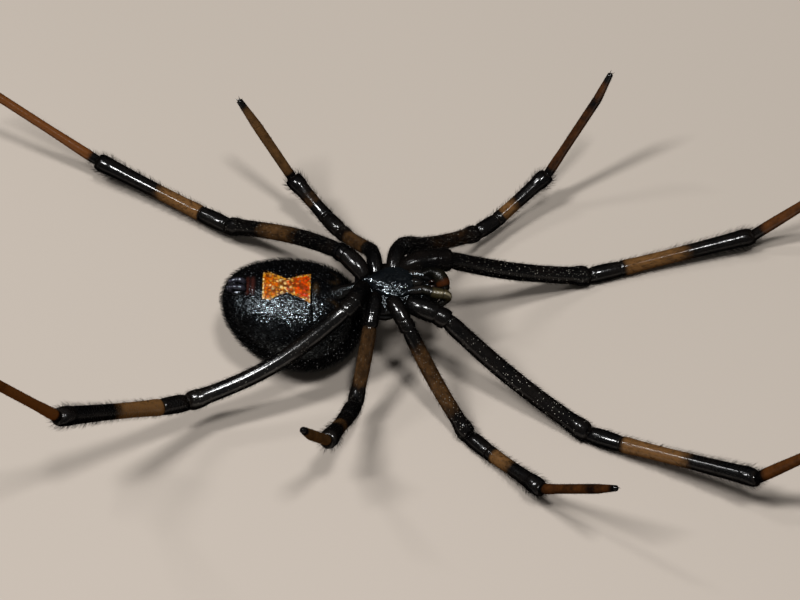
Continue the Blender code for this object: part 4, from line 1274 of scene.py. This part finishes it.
# The belly has few bristles, and none stand where the back rests on the floor.
height = abdomen_grid["rings"][:-1, :, 2]
dense = (1.0 - 0.85 * step_up((height - 4.3) / 0.7)) * (height > 0.12)
roots = hair_roots(abdomen_grid, 11000, dense)
tufts = [with_size(roots, 0.23, 0.0075, 44, sweep=-1.0)]
bristles("abdomen_hair", tufts, body_hair_finish, ["abdomen"])
tufts = []
for skin, count, long, sweep in ((carapace_grid, 700, 0.13, -1.0), (sternum_grid, 420, 0.12, 1.0)):
    tufts.append(with_size(hair_roots(skin, count), long, 0.007, 55, sweep=sweep))
for skin in mouth_grids + palp_grids:
    tufts.append(with_size(hair_roots(skin, 130), 0.17, 0.007, 50))
for skin in spinneret_grids:
    tufts.append(with_size(hair_roots(skin, 40), 0.12, 0.006, 30))
for tuft in tufts:
    tuft["marks"] = {}
nodes = ["carapace", "sternum", "labium", "maxilla_left", "maxilla_right"]
nodes += ["palp_left", "palp_right", "spinnerets"]
bristles("body_hair", tufts, body_hair_finish, nodes)


# Stage
# A plain pale floor of paper. Three small soft lamps hang above the belly, two to the left and one
# to the right of the camera, and there is a little light all round.
LAMP_DISTANCE = 0.3
CAMERA_DISTANCE = 0.11
CAMERA_RISE = math.radians(56.0)
PICTURE_WIDTH = 800.0
PIXELS_PER_MM = 21.0
bpy.ops.mesh.primitive_plane_add(size=3.0, location=(0.0, 0.0, 0.0))
floor = bpy.context.object
floor.name = "floor"
floor_finish, tree, shader = new_finish("paper_floor", 0.9, specular=0.2)
tone = ramp(tree, noise(tree, 9.0, 3.0), 0.3, 0.7)
feed_all(tree, shader, Base_Color=mix_colours(tree, tone, (0.37, 0.325, 0.28), (0.4, 0.35, 0.305)))
floor.data.materials.append(floor_finish)

bpy.context.scene.view_settings.view_transform = "Standard"
world = bpy.data.worlds.new("studio")
bpy.context.scene.world = world
world.use_nodes = True
feed_all(world.node_tree, world.node_tree.nodes["Background"], Color=(1.0, 0.98, 0.95), Strength=0.09)

target = Vector((4.271, 0.8, 2.5)) * MM
for label, way, wide, high, power in (
    ("key_left", (-0.42, -0.15, 0.9), 0.03, 0.09, 0.7),
    ("key_right", (0.12, -0.2, 0.97), 0.04, 0.04, 0.5),
    ("side", (-0.55, 0.18, 0.81), 0.02, 0.06, 0.14),
):
    lamp = bpy.data.lights.new(label, "AREA")
    lamp.shape = "ELLIPSE"
    lamp.size = wide
    lamp.size_y = high
    lamp.energy = power
    holder = bpy.data.objects.new(label, lamp)
    holder.location = target + Vector(way).normalized() * LAMP_DISTANCE
    holder.rotation_euler = (-Vector(way)).to_track_quat("-Z", "Y").to_euler()
    bpy.context.scene.collection.objects.link(holder)

view = bpy.data.cameras.new("photo_view")
view.sensor_width = 36.0
view.lens = PIXELS_PER_MM * CAMERA_DISTANCE / MM * view.sensor_width / PICTURE_WIDTH
view.clip_start = 0.005
camera = bpy.data.objects.new("photo_view", view)
back = Vector((0.0, -math.cos(CAMERA_RISE), math.sin(CAMERA_RISE)))
camera.location = target + back * CAMERA_DISTANCE
camera.rotation_euler = (math.radians(90.0) - CAMERA_RISE, 0.0, 0.0)
bpy.context.scene.collection.objects.link(camera)
bpy.context.scene.camera = camera
